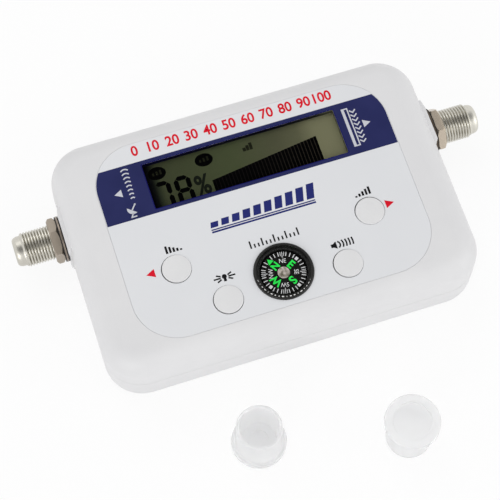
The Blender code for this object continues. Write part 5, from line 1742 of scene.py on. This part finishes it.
def make_world():
    """White surroundings that light the object at a plain level, with a darker ceiling in reflections."""
    world = bpy.data.worlds.new("studio")
    bpy.context.scene.world = world
    tree = Tree(world)
    tree.nodes.clear()
    kind = "ShaderNodeBackground"
    ambient = tree.add(kind, "Background", {"Color": WHITE, "Strength": AMBIENT_LEVEL})
    height = tree.part(tree.coordinates("Generated"), "Z")
    ceiling = tree.rescale(height, 1.0, CEILING_LEVEL, CEILING_START, CEILING_END)
    level = tree.calculate("MAXIMUM", ceiling, ray_share(tree, "Is Camera Ray"))
    looked_at = tree.add(kind, "Background", {"Color": WHITE, "Strength": level})
    share = ray_share(tree, *LOOKING_RAYS)
    mix = tree.add("ShaderNodeMixShader", "Shader", {"Fac": share, 1: ambient, 2: looked_at})
    tree.feed(tree.nodes.new("ShaderNodeOutputWorld"), {"Surface": mix})


def make_floor():
    """Plain pale floor that keeps the object's soft shadow."""
    material = bpy.data.materials.new("floor_white")
    tree = Tree(material)
    colour = (FLOOR_COLOUR, FLOOR_COLOUR, FLOOR_COLOUR, 1.0)
    tree.feed_shader({"Base Color": colour, "Roughness": FLOOR_ROUGHNESS})
    glow = tree.add("ShaderNodeEmission", "Emission", {"Strength": 1.0})
    share = tree.calculate("MULTIPLY", ray_share(tree, *LOOKING_RAYS), FLOOR_GLOW_SHARE)
    plain = tree.nodes["Principled BSDF"].outputs["BSDF"]
    mix = tree.add("ShaderNodeMixShader", "Shader", {"Fac": share, 1: plain, 2: glow})
    tree.feed(tree.nodes["Material Output"], {"Surface": mix})
    bm = bmesh.new()
    bmesh.ops.create_grid(bm, x_segments=2, y_segments=2, size=FLOOR_HALF)
    floor = build("floor", bm, material)
    floor.location = (0.0, 0.0, -INK)


def make_lamp(name, place, target, size, power):
    """Soft square lamp that faces a target."""
    data = bpy.data.lights.new(name, "AREA")
    data.size = size
    data.energy = power
    lamp = bpy.data.objects.new(name, data)
    direction = Vector(target) - Vector(place)
    lamp.matrix_world = Matrix.Translation(place) @ direction.to_track_quat("-Z", "Y").to_matrix().to_4x4()
    bpy.context.scene.collection.objects.link(lamp)


def make_camera():
    """Long lens that looks down on the face."""
    turn = Matrix.Rotation(math.radians(CAMERA_HEADING_DEGREES), 4, "Z")
    turn = turn @ Matrix.Rotation(math.radians(90 - CAMERA_ELEVATION_DEGREES), 4, "X")
    turn = turn @ Matrix.Rotation(math.radians(CAMERA_ROLL_DEGREES), 4, "Z")
    data = bpy.data.cameras.new("camera")
    data.lens = CAMERA_LENS_MM
    data.sensor_width = CAMERA_SENSOR_MM
    data.clip_start = CAMERA_CLIP_START
    camera = bpy.data.objects.new("camera", data)
    away = Matrix.Translation((0.0, 0.0, CAMERA_DISTANCE))
    camera.matrix_world = Matrix.Translation(CAMERA_TARGET) @ turn @ away
    bpy.context.scene.collection.objects.link(camera)
    bpy.context.scene.camera = camera


def main():
    bpy.context.scene.view_settings.view_transform = "Standard"
    make_camera()
    make_world()
    make_floor()
    for name, place, size, power in LAMPS:
        make_lamp(name, place, CAMERA_TARGET, size, power)
    finish = make_materials()
    paint_inner_nodes(finish)
    make_upper_shell(finish)
    make_lower_shell(finish)
    make_label(finish)
    make_band(finish)
    make_scale_numbers(finish)
    make_level_bars(finish)
    make_pictograms(finish)
    make_band_marks(finish)
    make_display_segments(finish)
    make_display_mask(finish)
    make_buttons(finish)
    make_cup(finish)
    make_dome(finish)
    make_card(finish)
    make_compass_print(finish)
    make_rim_glints(finish)
    make_ports(finish)
    make_caps(finish)
    make_case_screws(finish)


main()
